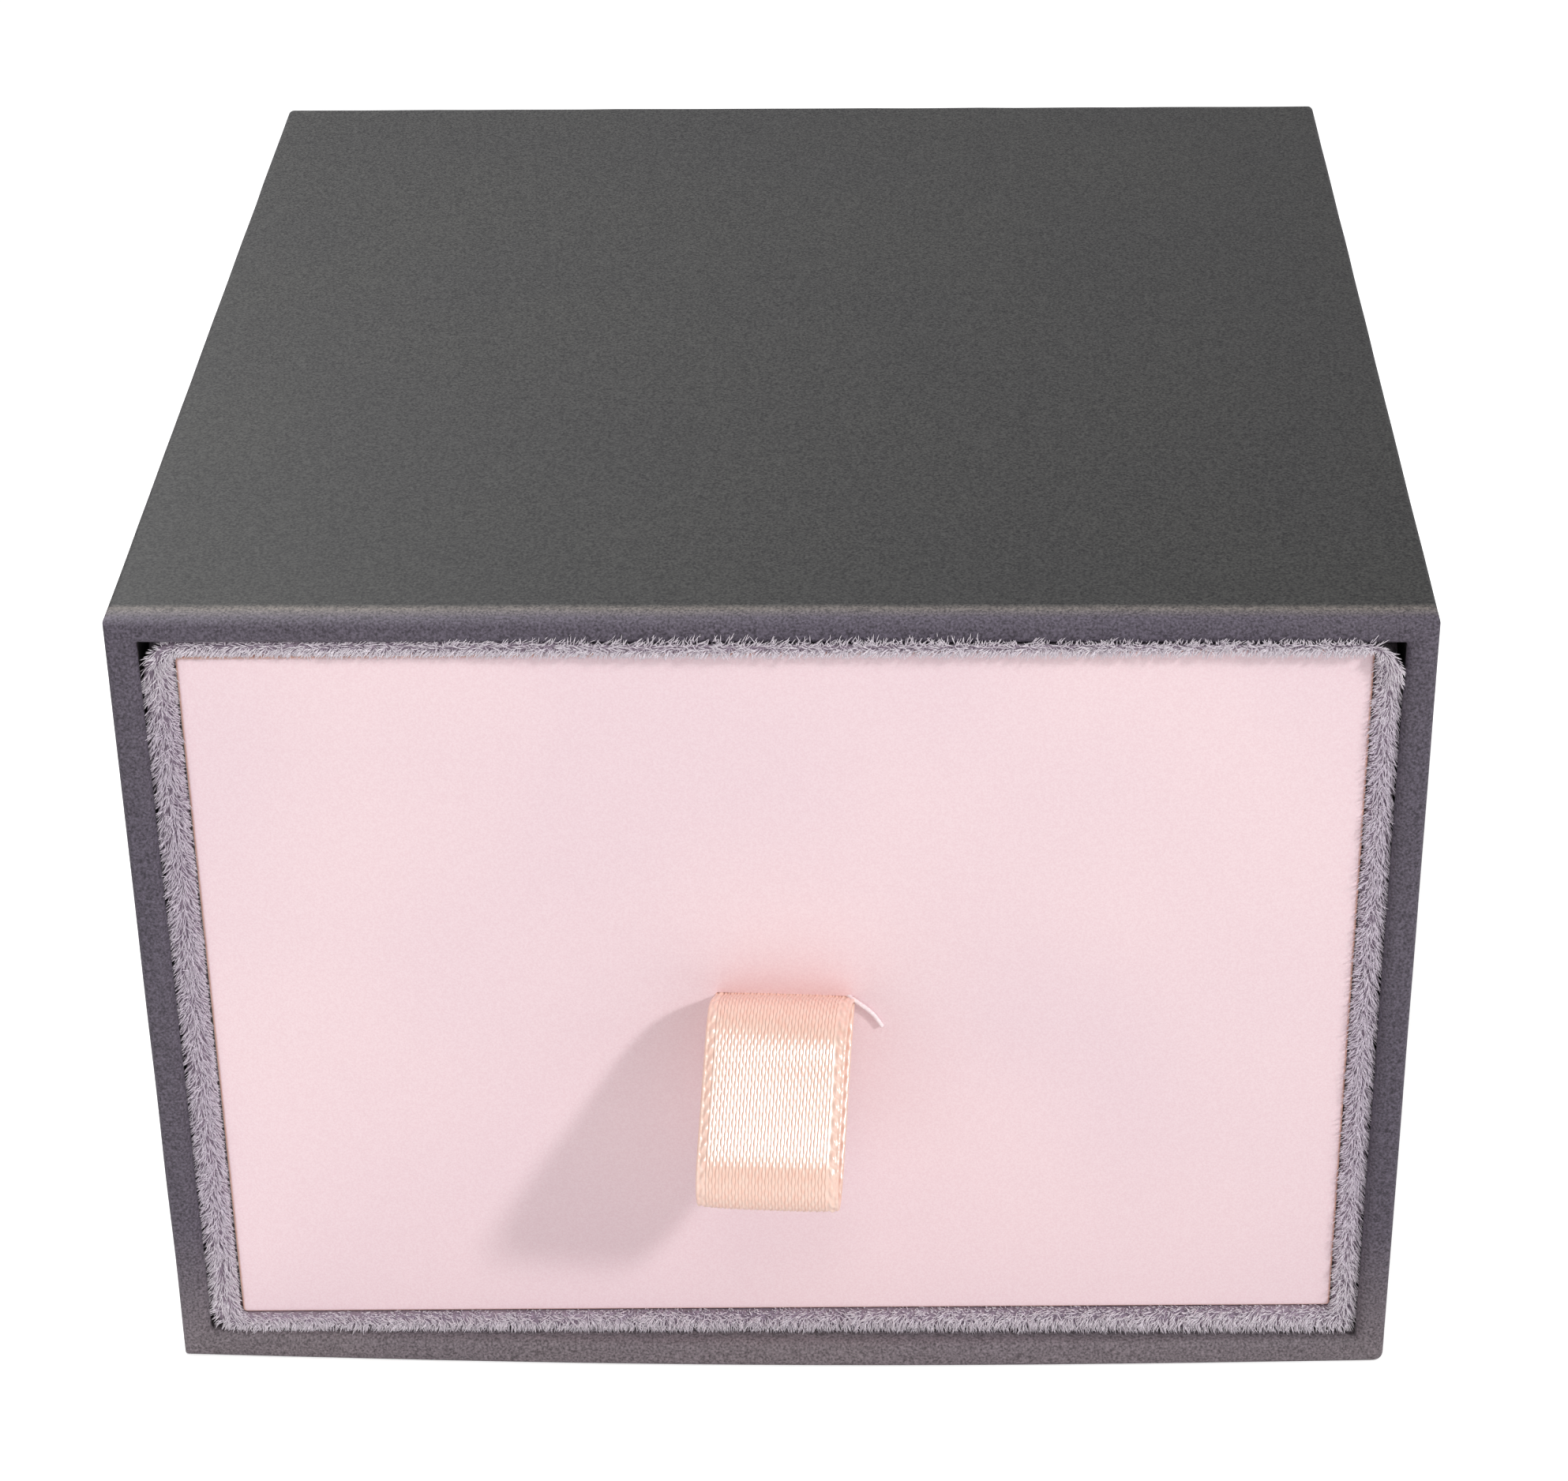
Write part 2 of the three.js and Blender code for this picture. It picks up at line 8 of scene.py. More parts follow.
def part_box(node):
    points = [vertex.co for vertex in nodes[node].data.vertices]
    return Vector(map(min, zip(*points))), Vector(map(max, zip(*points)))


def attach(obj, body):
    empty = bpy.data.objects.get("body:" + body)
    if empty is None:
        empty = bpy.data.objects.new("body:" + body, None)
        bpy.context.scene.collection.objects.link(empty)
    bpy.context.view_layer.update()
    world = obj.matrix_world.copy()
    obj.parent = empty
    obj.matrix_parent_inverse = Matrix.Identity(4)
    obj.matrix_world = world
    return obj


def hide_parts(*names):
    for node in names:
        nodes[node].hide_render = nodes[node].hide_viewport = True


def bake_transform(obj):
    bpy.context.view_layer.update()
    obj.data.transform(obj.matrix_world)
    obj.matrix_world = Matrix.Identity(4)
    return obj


# A small rigid jewellery box: a paper-wrapped board sleeve, and a plush-covered drawer with a ribbon pull.
# The frame is in metres, with X across the front, Y from the front to the back and Z up.
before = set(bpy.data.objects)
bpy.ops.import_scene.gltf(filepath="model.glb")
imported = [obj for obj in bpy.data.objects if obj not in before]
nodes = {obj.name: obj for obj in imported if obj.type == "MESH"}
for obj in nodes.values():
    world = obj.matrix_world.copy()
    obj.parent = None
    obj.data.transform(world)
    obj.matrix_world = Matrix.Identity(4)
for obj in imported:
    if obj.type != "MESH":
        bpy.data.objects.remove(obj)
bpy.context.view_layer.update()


# Camera: a long lens in front of the box and above it, rolled by a degree.
# It comes first, so that everything is made for a known view.
MM = 0.001
camera_at = Vector((8.647, -278.635, 188.249)) * MM
aim_at = Vector((-0.41, -6.77, 30)) * MM
camera_roll = math.radians(-0.922)
lens = bpy.data.cameras.new("camera")
lens.lens = 90.02
lens.sensor_width = 36
lens.clip_start = 0.01
camera = bpy.data.objects.new("camera", lens)
bpy.context.scene.collection.objects.link(camera)
camera.location = camera_at
camera.rotation_mode = "QUATERNION"
level_aim = (aim_at - camera_at).to_track_quat("-Z", "Y")
camera.rotation_quaternion = level_aim @ Quaternion((0, 0, 1), camera_roll)
bpy.context.scene.camera = camera
bpy.context.scene.view_settings.view_transform = "Standard"


def paint(red, green, blue):
    """A colour in the 0 to 255 steps of a colour card, as the shader needs it."""
    steps = [step / 255 for step in (red, green, blue)]
    return [s / 12.92 if s < 0.04 else ((s + 0.055) / 1.055) ** 2.4 for s in steps] + [1]


def new_finish(name, roughness, specular=0.5):
    """A new material and its shader."""
    material = bpy.data.materials.new(name)
    material.use_nodes = True
    shader = material.node_tree.nodes["Principled BSDF"]
    shader.inputs["Roughness"].default_value = roughness
    shader.inputs["Specular IOR Level"].default_value = specular
    return material, shader


def grain(material, size, stretch=(1, 1, 1), detail=3):
    """Noise with grains about that size, drawn out along the axes by stretch."""
    tree = material.node_tree
    place = tree.nodes.new("ShaderNodeTexCoord")
    scaled = tree.nodes.new("ShaderNodeMapping")
    scaled.inputs["Scale"].default_value = [1 / (size * along) for along in stretch]
    noise = tree.nodes.new("ShaderNodeTexNoise")
    noise.inputs["Scale"].default_value = 1
    noise.inputs["Detail"].default_value = detail
    tree.links.new(place.outputs["Object"], scaled.inputs["Vector"])
    tree.links.new(scaled.outputs["Vector"], noise.inputs["Vector"])
    return noise.outputs["Fac"]


def between(material, amount, low_colour, high_colour, low=0.35, high=0.65):
    """A colour that goes from one to the other as amount goes from low to high."""
    ramp = material.node_tree.nodes.new("ShaderNodeValToRGB")
    ramp.color_ramp.elements[0].position = low
    ramp.color_ramp.elements[0].color = low_colour
    ramp.color_ramp.elements[1].position = high
    ramp.color_ramp.elements[1].color = high_colour
    material.node_tree.links.new(amount, ramp.inputs["Fac"])
    return ramp.outputs["Color"]


def multiplied(material, first, second, share=1.0):
    """One colour darkened by another."""
    mix = material.node_tree.nodes.new("ShaderNodeMix")
    mix.data_type = "RGBA"
    mix.blend_type = "MULTIPLY"
    mix.inputs["Factor"].default_value = share
    material.node_tree.links.new(first, mix.inputs["A"])
    material.node_tree.links.new(second, mix.inputs["B"])
    return mix.outputs["Result"]


def emboss(material, shader, amount, depth):
    """Raises the surface by depth where amount is high, on top of what is raised already."""
    tree = material.node_tree
    bump = tree.nodes.new("ShaderNodeBump")
    bump.inputs["Distance"].default_value = depth
    tree.links.new(amount, bump.inputs["Height"])
    if shader.inputs["Normal"].links:
        tree.links.new(shader.inputs["Normal"].links[0].from_socket, bump.inputs["Normal"])
    tree.links.new(bump.outputs["Normal"], shader.inputs["Normal"])


def dress(name, material):
    """Gives a carried-over solid its finish."""
    nodes[name].material_slots[0].material = material


def colour_from(material, shader, colour):
    """Lets a colour be the shader's base colour."""
    material.node_tree.links.new(colour, shader.inputs["Base Color"])


greyboard, greyboard_shader = new_finish("greyboard", 0.92, 0.25)
board_pulp = between(greyboard, grain(greyboard, 1.1 * MM), paint(126, 123, 115), paint(151, 147, 138))
board_fibres = between(
    greyboard, grain(greyboard, 0.25 * MM, (4, 1, 1)), paint(190, 186, 178), paint(255, 255, 255))
colour_from(greyboard, greyboard_shader, multiplied(greyboard, board_pulp, board_fibres))
emboss(greyboard, greyboard_shader, grain(greyboard, 0.3 * MM), 0.03 * MM)

for side in ("top", "bottom", "left", "right", "back"):
    dress(f"sleeve_{side}_board", greyboard)
for side in ("front", "back", "left", "right", "bottom"):
    dress(f"tray_{side}_board", greyboard)


# Corner stays: strips of brown kraft tape folded along their middle into the inside corners.
# They hold the boards together before the paper goes on.
kraft, kraft_shader = new_finish("kraft_tape", 0.8, 0.3)
kraft_pulp = between(kraft, grain(kraft, 0.7 * MM, (1, 1, 5)), paint(158, 124, 84), paint(188, 152, 108))
kraft_flecks = between(kraft, grain(kraft, 0.2 * MM, (1, 3, 3)), paint(205, 200, 192), paint(255, 255, 255))
colour_from(kraft, kraft_shader, multiplied(kraft, kraft_pulp, kraft_flecks))
emboss(kraft, kraft_shader, grain(kraft, 0.35 * MM, (1, 1, 4)), 0.02 * MM)

for side in ("left", "right"):
    for level in ("lower", "upper"):
        dress(f"sleeve_stay_{level}_{side}", kraft)
    for end in ("front", "back"):
        dress(f"tray_stay_{end}_{side}", kraft)


# Sleeve wrap: one sheet of dark grey soft-touch paper, glued round all four walls.
# It rolls over the front edges into the mouth, and over the back edges onto the back wall.
WRAP_THICKNESS = 0.17
WALL_THICKNESS = 1.9
EDGE_RADIUS = 0.45
FOOT_RADIUS = 0.2
CRUSHED_CORNER = 0.65
CRUSH_DEPTH = 9
FOOT_BEAD = 0.18
TOP_ROLL_DEPTH = 2.1
TOP_ROLL_HEIGHT = 0.8
LIP_RADIUS = 0.65
LIP_BEAD = 0.24
MOUTH_TURN_IN = 15
BACK_FLAP = 12
MOUTH_CORNER = 0.2
FRONT_BOW = 1.0
FRONT_LEAN = 0.15
BOW_DEPTH = 22
BOW_HEIGHT = 24
PAPER_WAVE = 0.02


def outline(low, high, radius, corner_steps=5, side_steps=28):
    """Points round a rectangle with round corners, anticlockwise from its upper right corner."""
    upper_right, upper_left, lower_left, lower_right = np.broadcast_to(radius, 4)
    corners = [
        (high[0] - upper_right, high[1] - upper_right, upper_right),
        (low[0] + upper_left, high[1] - upper_left, upper_left),
        (low[0] + lower_left, low[1] + lower_left, lower_left),
        (high[0] - lower_right, low[1] + lower_right, lower_right),
    ]
    arcs = []
    for quarter, (x, z, radius) in enumerate(corners):
        turn = np.linspace(quarter, quarter + 1, corner_steps + 1) * math.pi / 2
        arcs.append(np.stack([x + radius * np.cos(turn), z + radius * np.sin(turn)], 1))
    runs = []
    for arc, following in zip(arcs, arcs[1:] + arcs[:1]):
        runs += [arc, np.linspace(arc[-1], following[0], side_steps + 1)[1:-1]]
    return np.concatenate(runs)


def ring_at(y, low, high, radius, **steps):
    """An outline stood upright at y, in millimetres."""
    flat = outline(low, high, radius, **steps)
    return np.stack([flat[:, 0], np.full(len(flat), y), flat[:, 1]], 1)


def ripple(points, length, seed):
    """Smooth waves of about that length through space, from -1 to 1."""
    chance = np.random.default_rng(seed)
    total = np.zeros(len(points))
    for _ in range(7):
        heading = chance.normal(size=3)
        heading *= 2 * math.pi / (length * chance.uniform(0.7, 1.5) * np.linalg.norm(heading))
        total += np.sin(points @ heading + chance.uniform(0, 2 * math.pi))
    return total / 3.5


def skin_over(name, rings, material, caps=0):
    """A smooth mesh over rings in millimetres, closed at its first ring where caps is 1, or at both ends."""
    around = len(rings[0])
    points = np.concatenate(rings) * MM
    here = np.arange(around)
    beside = (here + 1) % around
    faces = []
    for ring in range(len(rings) - 1):
        start = ring * around
        corners = [here, beside, around + beside, around + here]
        faces += (start + np.stack(corners, 1)).tolist()
    faces += [list(range(around))[::-1], list(range(len(points) - around, len(points)))][:caps]
    mesh = bpy.data.meshes.new(name)
    mesh.from_pydata(points.tolist(), [], faces)
    mesh.shade_smooth()
    mesh.materials.append(material)
    piece = bpy.data.objects.new(name, mesh)
    bpy.context.scene.collection.objects.link(piece)
    return piece


def thicken(piece, thickness):
    """Gives a skin its thickness, inwards from the side that shows."""
    solid = piece.modifiers.new("thickness", "SOLIDIFY")
    solid.thickness = thickness * MM
    solid.offset = -1


def graded(material, start, end, axis="Y"):
    """Goes from 0 to 1 along an axis from start to end, in millimetres."""
    tree = material.node_tree
    place = tree.nodes.new("ShaderNodeTexCoord")
    split = tree.nodes.new("ShaderNodeSeparateXYZ")
    share = tree.nodes.new("ShaderNodeMapRange")
    share.inputs["From Min"].default_value = start * MM
    share.inputs["From Max"].default_value = end * MM
    tree.links.new(place.outputs["Object"], split.inputs["Vector"])
    tree.links.new(split.outputs[axis], share.inputs["Value"])
    return share.outputs["Result"]


def blended(material, amount, first, second):
    """The first colour where amount is 0 and the second where it is 1."""
    mix = material.node_tree.nodes.new("ShaderNodeMix")
    mix.data_type = "RGBA"
    material.node_tree.links.new(amount, mix.inputs["Factor"])
    material.node_tree.links.new(first, mix.inputs["A"])
    material.node_tree.links.new(second, mix.inputs["B"])
    return mix.outputs["Result"]


def soft_touch_paper(name, shade):
    """Dark laminated paper with a fine mottle; shade is its middle grey.

    Its front edges are painted lighter than the top, as they catch more light: most of all at the foot,
    painted as lit from the floor, and in a painted highlight along the creased fold behind them.
    """
    paper, shader = new_finish(name, 0.58, 0.3)
    low = [shade[0] * 0.56, shade[1] * 0.55, shade[2] * 0.58]
    high = [shade[0] * 1.5, shade[1] * 1.48, shade[2] * 1.44]
    specks = grain(paper, 0.17 * MM, detail=2)
    mottle = between(paper, specks, paint(*low), paint(*high), 0.3, 0.7)
    # Painted light: the foot and the front rims are lighter than the top, for the light that falls on them;
    # the foot most of all, for the floor's light.
    foot = between(paper, specks, paint(82, 74, 77), paint(146, 134, 139), 0.3, 0.7)
    edge = between(paper, specks, paint(60, 54, 62), paint(110, 101, 114), 0.3, 0.7)
    painted_front_light = blended(paper, graded(paper, 1, 12, "Z"), foot, edge)
    # Painted highlight along the creased fold behind the top front edge.
    painted_crease_highlight = between(paper, specks, paint(72, 66, 66), paint(138, 129, 124), 0.3, 0.7)
    painted_front_light = blended(paper, graded(paper, wrap_front + 0.8, wrap_front + 1.7), painted_front_light, painted_crease_highlight)
    mottle = blended(paper, graded(paper, wrap_front + 1.7, wrap_front + 2.4), painted_front_light, mottle)
    clouds = between(paper, grain(paper, 14 * MM, detail=2), paint(246, 249, 252), paint(252, 255, 255))
    colour_from(paper, shader, multiplied(paper, mottle, clouds))
    emboss(paper, shader, grain(paper, 0.16 * MM, detail=2), 0.016 * MM)
    shader.inputs["Sheen Weight"].default_value = 0.12
    shader.inputs["Sheen Roughness"].default_value = 0.4
    shader.inputs["Sheen Tint"].default_value = paint(214, 206, 216)
    return paper


wrap_low, wrap_high = (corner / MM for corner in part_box("sleeve_wrap"))
wrap_front = wrap_low.y
wrap_back = wrap_high.y
wrap_paper = soft_touch_paper("wrap_paper", (48, 48, 48))


def wrap_ring(y, inset):
    """A ring round the wrap at y, that far inside its widest outline."""
    low = (wrap_low.x + inset, wrap_low.z + inset)
    high = (wrap_high.x - inset, wrap_high.z - inset)
    crushed = FOOT_RADIUS + (CRUSHED_CORNER - FOOT_RADIUS) * max(1 - (y - wrap_front) / CRUSH_DEPTH, 0)
    corners = (EDGE_RADIUS, EDGE_RADIUS, FOOT_RADIUS, crushed)
    return ring_at(y, low, high, [max(corner - inset * 0.2, MOUTH_CORNER) for corner in corners])


def rolled(depth, roll_depth, roll_height):
    """How far a rolled edge falls back at a depth behind the face it rolls onto."""
    share = min(max(1 - depth / roll_depth, 0), 1)
    return roll_height * (1 - math.sqrt(1 - share ** 2))


wrap_rings = [wrap_ring(wrap_back, inset) for inset in (BACK_FLAP, 6, EDGE_RADIUS + 0.4)]
for turn in np.linspace(0, math.pi / 2, 6):
    depth = EDGE_RADIUS * (1 - math.cos(turn))
    wrap_rings.append(wrap_ring(wrap_back - depth, rolled(depth, EDGE_RADIUS, EDGE_RADIUS)))
for y in np.linspace(wrap_back - EDGE_RADIUS - 0.6, wrap_front + TOP_ROLL_DEPTH + 0.5, 24):
    wrap_rings.append(wrap_ring(y, 0))
for turn in np.linspace(0, math.pi / 2, 13):
    depth = TOP_ROLL_DEPTH * (1 - math.sin(turn))
    ring = wrap_ring(wrap_front + depth, rolled(depth, EDGE_RADIUS, EDGE_RADIUS))
    ring[:, 2] = np.minimum(ring[:, 2], wrap_high.z - rolled(depth, TOP_ROLL_DEPTH, TOP_ROLL_HEIGHT))
    wrap_rings.append(ring)
wrap_rings.append(wrap_ring(wrap_front, TOP_ROLL_HEIGHT + 0.1))
for turn in np.linspace(0, math.pi / 2, 8):
    depth = LIP_RADIUS * (1 - math.cos(turn))
    ring = wrap_ring(wrap_front + depth, WALL_THICKNESS - LIP_RADIUS * (1 - math.sin(turn)))
    ring[:, 0] -= LIP_BEAD * math.sin(turn) * np.sign(ring[:, 0])
    wrap_rings.append(ring)
for depth, bead in ((1, 0.6), (1.5, 0.2), (2.2, 0), (5, 0), (10, 0), (MOUTH_TURN_IN, 0)):
    ring = wrap_ring(wrap_front + depth, WALL_THICKNESS)
    ring[:, 0] -= LIP_BEAD * bead * np.sign(ring[:, 0])
    wrap_rings.append(ring)

under_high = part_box("sleeve_under_sheet")[1] / MM
for ring in wrap_rings:
    beyond = np.maximum(np.abs(ring[:, 0]) - under_high.x, np.abs(ring[:, 1]) - under_high.y)
    ring[:, 2] -= FOOT_BEAD * np.clip((beyond - 0.3) / 0.8, 0, 1) * np.clip(1.2 - ring[:, 2], 0, 1)
    near_front = np.clip((wrap_front + BOW_DEPTH - ring[:, 1]) / BOW_DEPTH, 0, 1) ** 2
    near_foot = np.clip(1 - ring[:, 2] / BOW_HEIGHT, 0, 1) ** 2
    across = np.cos(math.pi * ring[:, 0] / (wrap_high.x - wrap_low.x))
    ring[:, 1] -= (FRONT_BOW * across + FRONT_LEAN) * near_foot * near_front
    ring[:, 0] += PAPER_WAVE * ripple(ring, 9, 1)
    ring[:, 2] += PAPER_WAVE * ripple(ring, 7, 2) * (ring[:, 2] > 2)

sleeve_wrap = skin_over("sleeve_wrap_paper", wrap_rings, wrap_paper)
thicken(sleeve_wrap, WRAP_THICKNESS)
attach(sleeve_wrap, "sleeve")
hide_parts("sleeve_wrap")


# Under sheet and back sheet: two more pieces of the same paper, cut a little small.
# They hide the turned flaps of the wrap, and the box rests on the under one.
sheet_paper = soft_touch_paper("sheet_paper", (48, 48, 48))
dress("sleeve_under_sheet", sheet_paper)
dress("sleeve_back_sheet", sheet_paper)


# Sleeve linings: thin black paper glued to the inside walls and the back, up to the wrap's turned-in edge.
# The drawer rubs on them, which leaves faint streaks along its way.
lining_paper, lining_shader = new_finish("lining_paper", 0.78, 0.3)
lining_tone = between(lining_paper, grain(lining_paper, 0.4 * MM), paint(44, 42, 43), paint(58, 55, 56))
lining_rub = between(
    lining_paper, grain(lining_paper, 2.5 * MM, (0.6, 9, 0.6)), paint(255, 255, 255), paint(214, 210, 208))
colour_from(lining_paper, lining_shader, multiplied(lining_paper, lining_tone, lining_rub))
emboss(lining_paper, lining_shader, grain(lining_paper, 0.2 * MM), 0.01 * MM)
dress("sleeve_lining", lining_paper)
dress("sleeve_back_lining", lining_paper)


# Plush cover of the tray: short lilac-grey pile cloth glued round the walls, over the rim and down inside.
# It is made as rings round the tray, seen from above, with soft lumps where the glue pulls it.
PLUSH_THICKNESS = 0.9
RIM_WIDTH = 3.36
RIM_TOP_DROP = 0.25
TRAY_FOOT_RADIUS = 2.2
PANEL_SEAT_DEPTH = 2.2
COVER_WAVE = 0.09
RIM_WAVE = 0.1


def plush_cloth(name, shade, painted_root_shade=None):
    """Brushed pile seen from a distance: fine tufts, brushed patches and a bright nap at grazing angles.

    Where hairs of their own stand on the front of it, the root colour given is painted shade between them.
    """
    cloth, shader = new_finish(name, 0.95, 0.1)
    low = [level * 0.74 for level in shade]
    fine_tufts = grain(cloth, 0.16 * MM, (1, 1, 1.8), detail=2)
    tufts = between(cloth, fine_tufts, paint(*low), paint(*shade), 0.36, 0.62)
    if painted_root_shade:
        # Painted shade between the hairs, near the front of the ridge.
        darker_painted_roots = [level * 0.8 for level in painted_root_shade]
        roots = between(cloth, grain(cloth, 0.2 * MM), paint(*darker_painted_roots), paint(*painted_root_shade))
        tufts = blended(cloth, graded(cloth, cover_low.y + 0.9, cover_low.y + 1.7), roots, tufts)
    brushed = between(cloth, grain(cloth, 4 * MM, detail=2), paint(226, 224, 228), paint(255, 254, 255))
    colour_from(cloth, shader, multiplied(cloth, tufts, brushed))
    emboss(cloth, shader, grain(cloth, 0.22 * MM, (1, 1, 1.8), detail=2), 0.16 * MM)
    emboss(cloth, shader, grain(cloth, 1.6 * MM, detail=2), 0.25 * MM)
    shader.inputs["Sheen Weight"].default_value = 0.5
    shader.inputs["Sheen Roughness"].default_value = 0.5
    shader.inputs["Sheen Tint"].default_value = paint(232, 222, 232)
    return cloth


cover_low, cover_high = (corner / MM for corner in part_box("tray_plush_cover"))
plush = plush_cloth("plush", (205, 192, 203))
lining_low, lining_high = (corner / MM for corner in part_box("tray_plush_lining"))
rim_foot = lining_high.z + 0.3
walls_front = cover_low.y + PANEL_SEAT_DEPTH


def level_ring(z, inset, radius):
    """A ring round the tray at height z."""
    low = (cover_low.x + inset, walls_front + inset)
    high = (cover_high.x - inset, cover_high.y - inset)
    flat = outline(low, high, radius, corner_steps=6, side_steps=44)
    return np.stack([flat[:, 0], flat[:, 1], np.full(len(flat), z)], 1)


cover_rings = [level_ring(cover_low.z, inset, 0.6) for inset in (38, 20, 8, TRAY_FOOT_RADIUS + 0.5)]
for turn in np.linspace(0, math.pi / 2, 6):
    inset = TRAY_FOOT_RADIUS * (1 - math.sin(turn))
    cover_rings.append(level_ring(cover_low.z + TRAY_FOOT_RADIUS * (1 - math.cos(turn)), inset, 1.2))
rim_radius = RIM_WIDTH / 2
rim_centre_height = cover_high.z - RIM_TOP_DROP - rim_radius
for z in np.linspace(cover_low.z + TRAY_FOOT_RADIUS + 1, rim_centre_height - 1, 26):
    cover_rings.append(level_ring(z, 0, 1.2))
for turn in np.linspace(0, math.pi, 11):
    height = rim_centre_height + rim_radius * math.sin(turn)
    cover_rings.append(level_ring(height, rim_radius * (1 - math.cos(turn)), 1.2 + 0.4 * turn / math.pi))
for z in np.linspace(rim_centre_height - 1, rim_foot + 0.3, 8):
    cover_rings.append(level_ring(z, RIM_WIDTH, 1.6))
for ring in cover_rings:
    inward = -np.sign(ring[:, :2]) * (COVER_WAVE + COVER_WAVE * ripple(ring, 7, 3)[:, None])
    against_wall = np.abs(ring[:, :2]) > np.array([cover_high.x - 4, 40])
    ring[:, :2] += inward * against_wall
    ring[:, 2] += RIM_WAVE * ripple(ring, 6, 4) * (ring[:, 2] > rim_foot)

tray_cover = skin_over("tray_plush_walls", cover_rings, plush, caps=1)
thicken(tray_cover, PLUSH_THICKNESS)
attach(tray_cover, "drawer")
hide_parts("tray_plush_cover")


# Plush lining: a second piece of the same cloth, glued inside the tray on its floor and up its walls.
# Its upper edge meets the cover's edge, where that comes down inside from the rim.
def lining_ring(z, inset, radius):
    """A ring round the inside of the tray at height z."""
    low = (lining_low.x + inset, lining_low.y + inset)
    high = (lining_high.x - inset, lining_high.y - inset)
    flat = outline(low, high, radius, corner_steps=5, side_steps=36)
    return np.stack([flat[:, 0], flat[:, 1], np.full(len(flat), z)], 1)


lining_rings = [lining_ring(lining_low.z, 0.05, 0.5), lining_ring(lining_high.z - 0.4, 0.05, 0.5)]
for turn in np.linspace(0, math.pi, 6):
    height = lining_high.z - 0.4 + 0.4 * math.sin(turn)
    lining_rings.append(lining_ring(height, PLUSH_THICKNESS / 2 * (1 - math.cos(turn)), 1))
for z in np.linspace(lining_high.z - 1, lining_low.z + PLUSH_THICKNESS + 0.4, 18):
    lining_rings.append(lining_ring(z, PLUSH_THICKNESS, 1))
lining_rings.append(lining_ring(lining_low.z + PLUSH_THICKNESS, PLUSH_THICKNESS + 0.5, 1))
lining_rings.append(lining_ring(lining_low.z + PLUSH_THICKNESS, 30, 1))
plush_lining = skin_over("tray_lining_cloth", lining_rings, plush, caps=2)
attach(plush_lining, "drawer")
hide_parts("tray_plush_lining")


# Plush border: where the cover turns onto the front it stands up round the panel as a thick ridge.
# The nap parts along the middle of the ridge, and lies outwards, inwards and always a little down.
RIDGE_FOOT = 1.1
RIDGE_RISE = 0.58
BORDER_BACK = 4.2
BORDER_CORNERS = (3, 3.2, 1.5, 0.9)
POCKET_CORNER = 0.5
PANEL_GAP = 0.15
# How far the ridge leans forward along the top and the foot, and how far its outer edge is raised or dropped.
TOP_FORWARD = 0.18
TOP_OVERHANG = 0.97
FOOT_FORWARD = 0.25
TOP_RISE = 0.45
FOOT_DROP = 0.25
BORDER_WAVE = 0.07
# The panel was glued in by hand: how far it sits to the right, and how far its edges sit from their places.
PANEL_SHIFT = 0.2
PANEL_TOP_LEFT = 0.74
PANEL_TOP_RIGHT = 1.4
PANEL_FOOT_LEFT = -1.02
PANEL_FOOT_RIGHT = 0.12

panel_low, panel_high = (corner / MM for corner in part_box("front_panel_paper"))
border_x = panel_low.x - PANEL_GAP - cover_low.x
border_z = panel_low.z - PANEL_GAP - cover_low.z


def ridge_height(share):
    """How far the ridge stands in front of its foot, from its outer edge, 0, to its inner edge, 1."""
    return RIDGE_RISE * np.sqrt(np.clip(1 - (2 * share - 1) ** 2, 0, 1))


def panel_shift(ring):
    """How far the panel's edge is moved at each point of a ring."""
    right = (ring[:, 0] - panel_low.x) / (panel_high.x - panel_low.x)
    up = (ring[:, 2] - panel_low.z) / (panel_high.z - panel_low.z)
    foot = PANEL_FOOT_LEFT * (1 - right) + PANEL_FOOT_RIGHT * right
    top = PANEL_TOP_LEFT * (1 - right) + PANEL_TOP_RIGHT * right
    sideways = np.full(len(ring), PANEL_SHIFT)
    return np.stack([sideways, np.zeros(len(ring)), top * up + foot * (1 - up)], 1)


def border_ring(y, share, **steps):
    """A ring round the panel at y, from the border's outer edge, where share is 0, to its inner edge, 1."""
    low = (cover_low.x + border_x * share, cover_low.z + border_z * share)
    high = (cover_high.x - border_x * share, cover_high.z - border_z * share)
    radii = [corner + (POCKET_CORNER - corner) * share for corner in BORDER_CORNERS]
    ring = ring_at(y, low, high, radii, **steps)
    up = (ring[:, 2] - cover_low.z) / (cover_high.z - cover_low.z)
    right = (ring[:, 0] - cover_low.x) / (cover_high.x - cover_low.x)
    near_front = np.clip(1.6 - (y - cover_low.y), 0, 1)
    forward = TOP_FORWARD + TOP_OVERHANG * (1 - share)
    ring[:, 1] -= forward * np.clip((up - 0.93) / 0.04, 0, 1) * np.clip(right * 2.5, 0.2, 1)
    ring[:, 1] -= FOOT_FORWARD * np.clip((0.06 - up) / 0.04, 0, 1) * (1 - 0.6 * right)
    outer_shift = TOP_RISE * up - FOOT_DROP * (1 - up) * (1 - right)
    ring[:, 2] += (1 - share) * outer_shift * near_front
    return ring + share * panel_shift(ring)


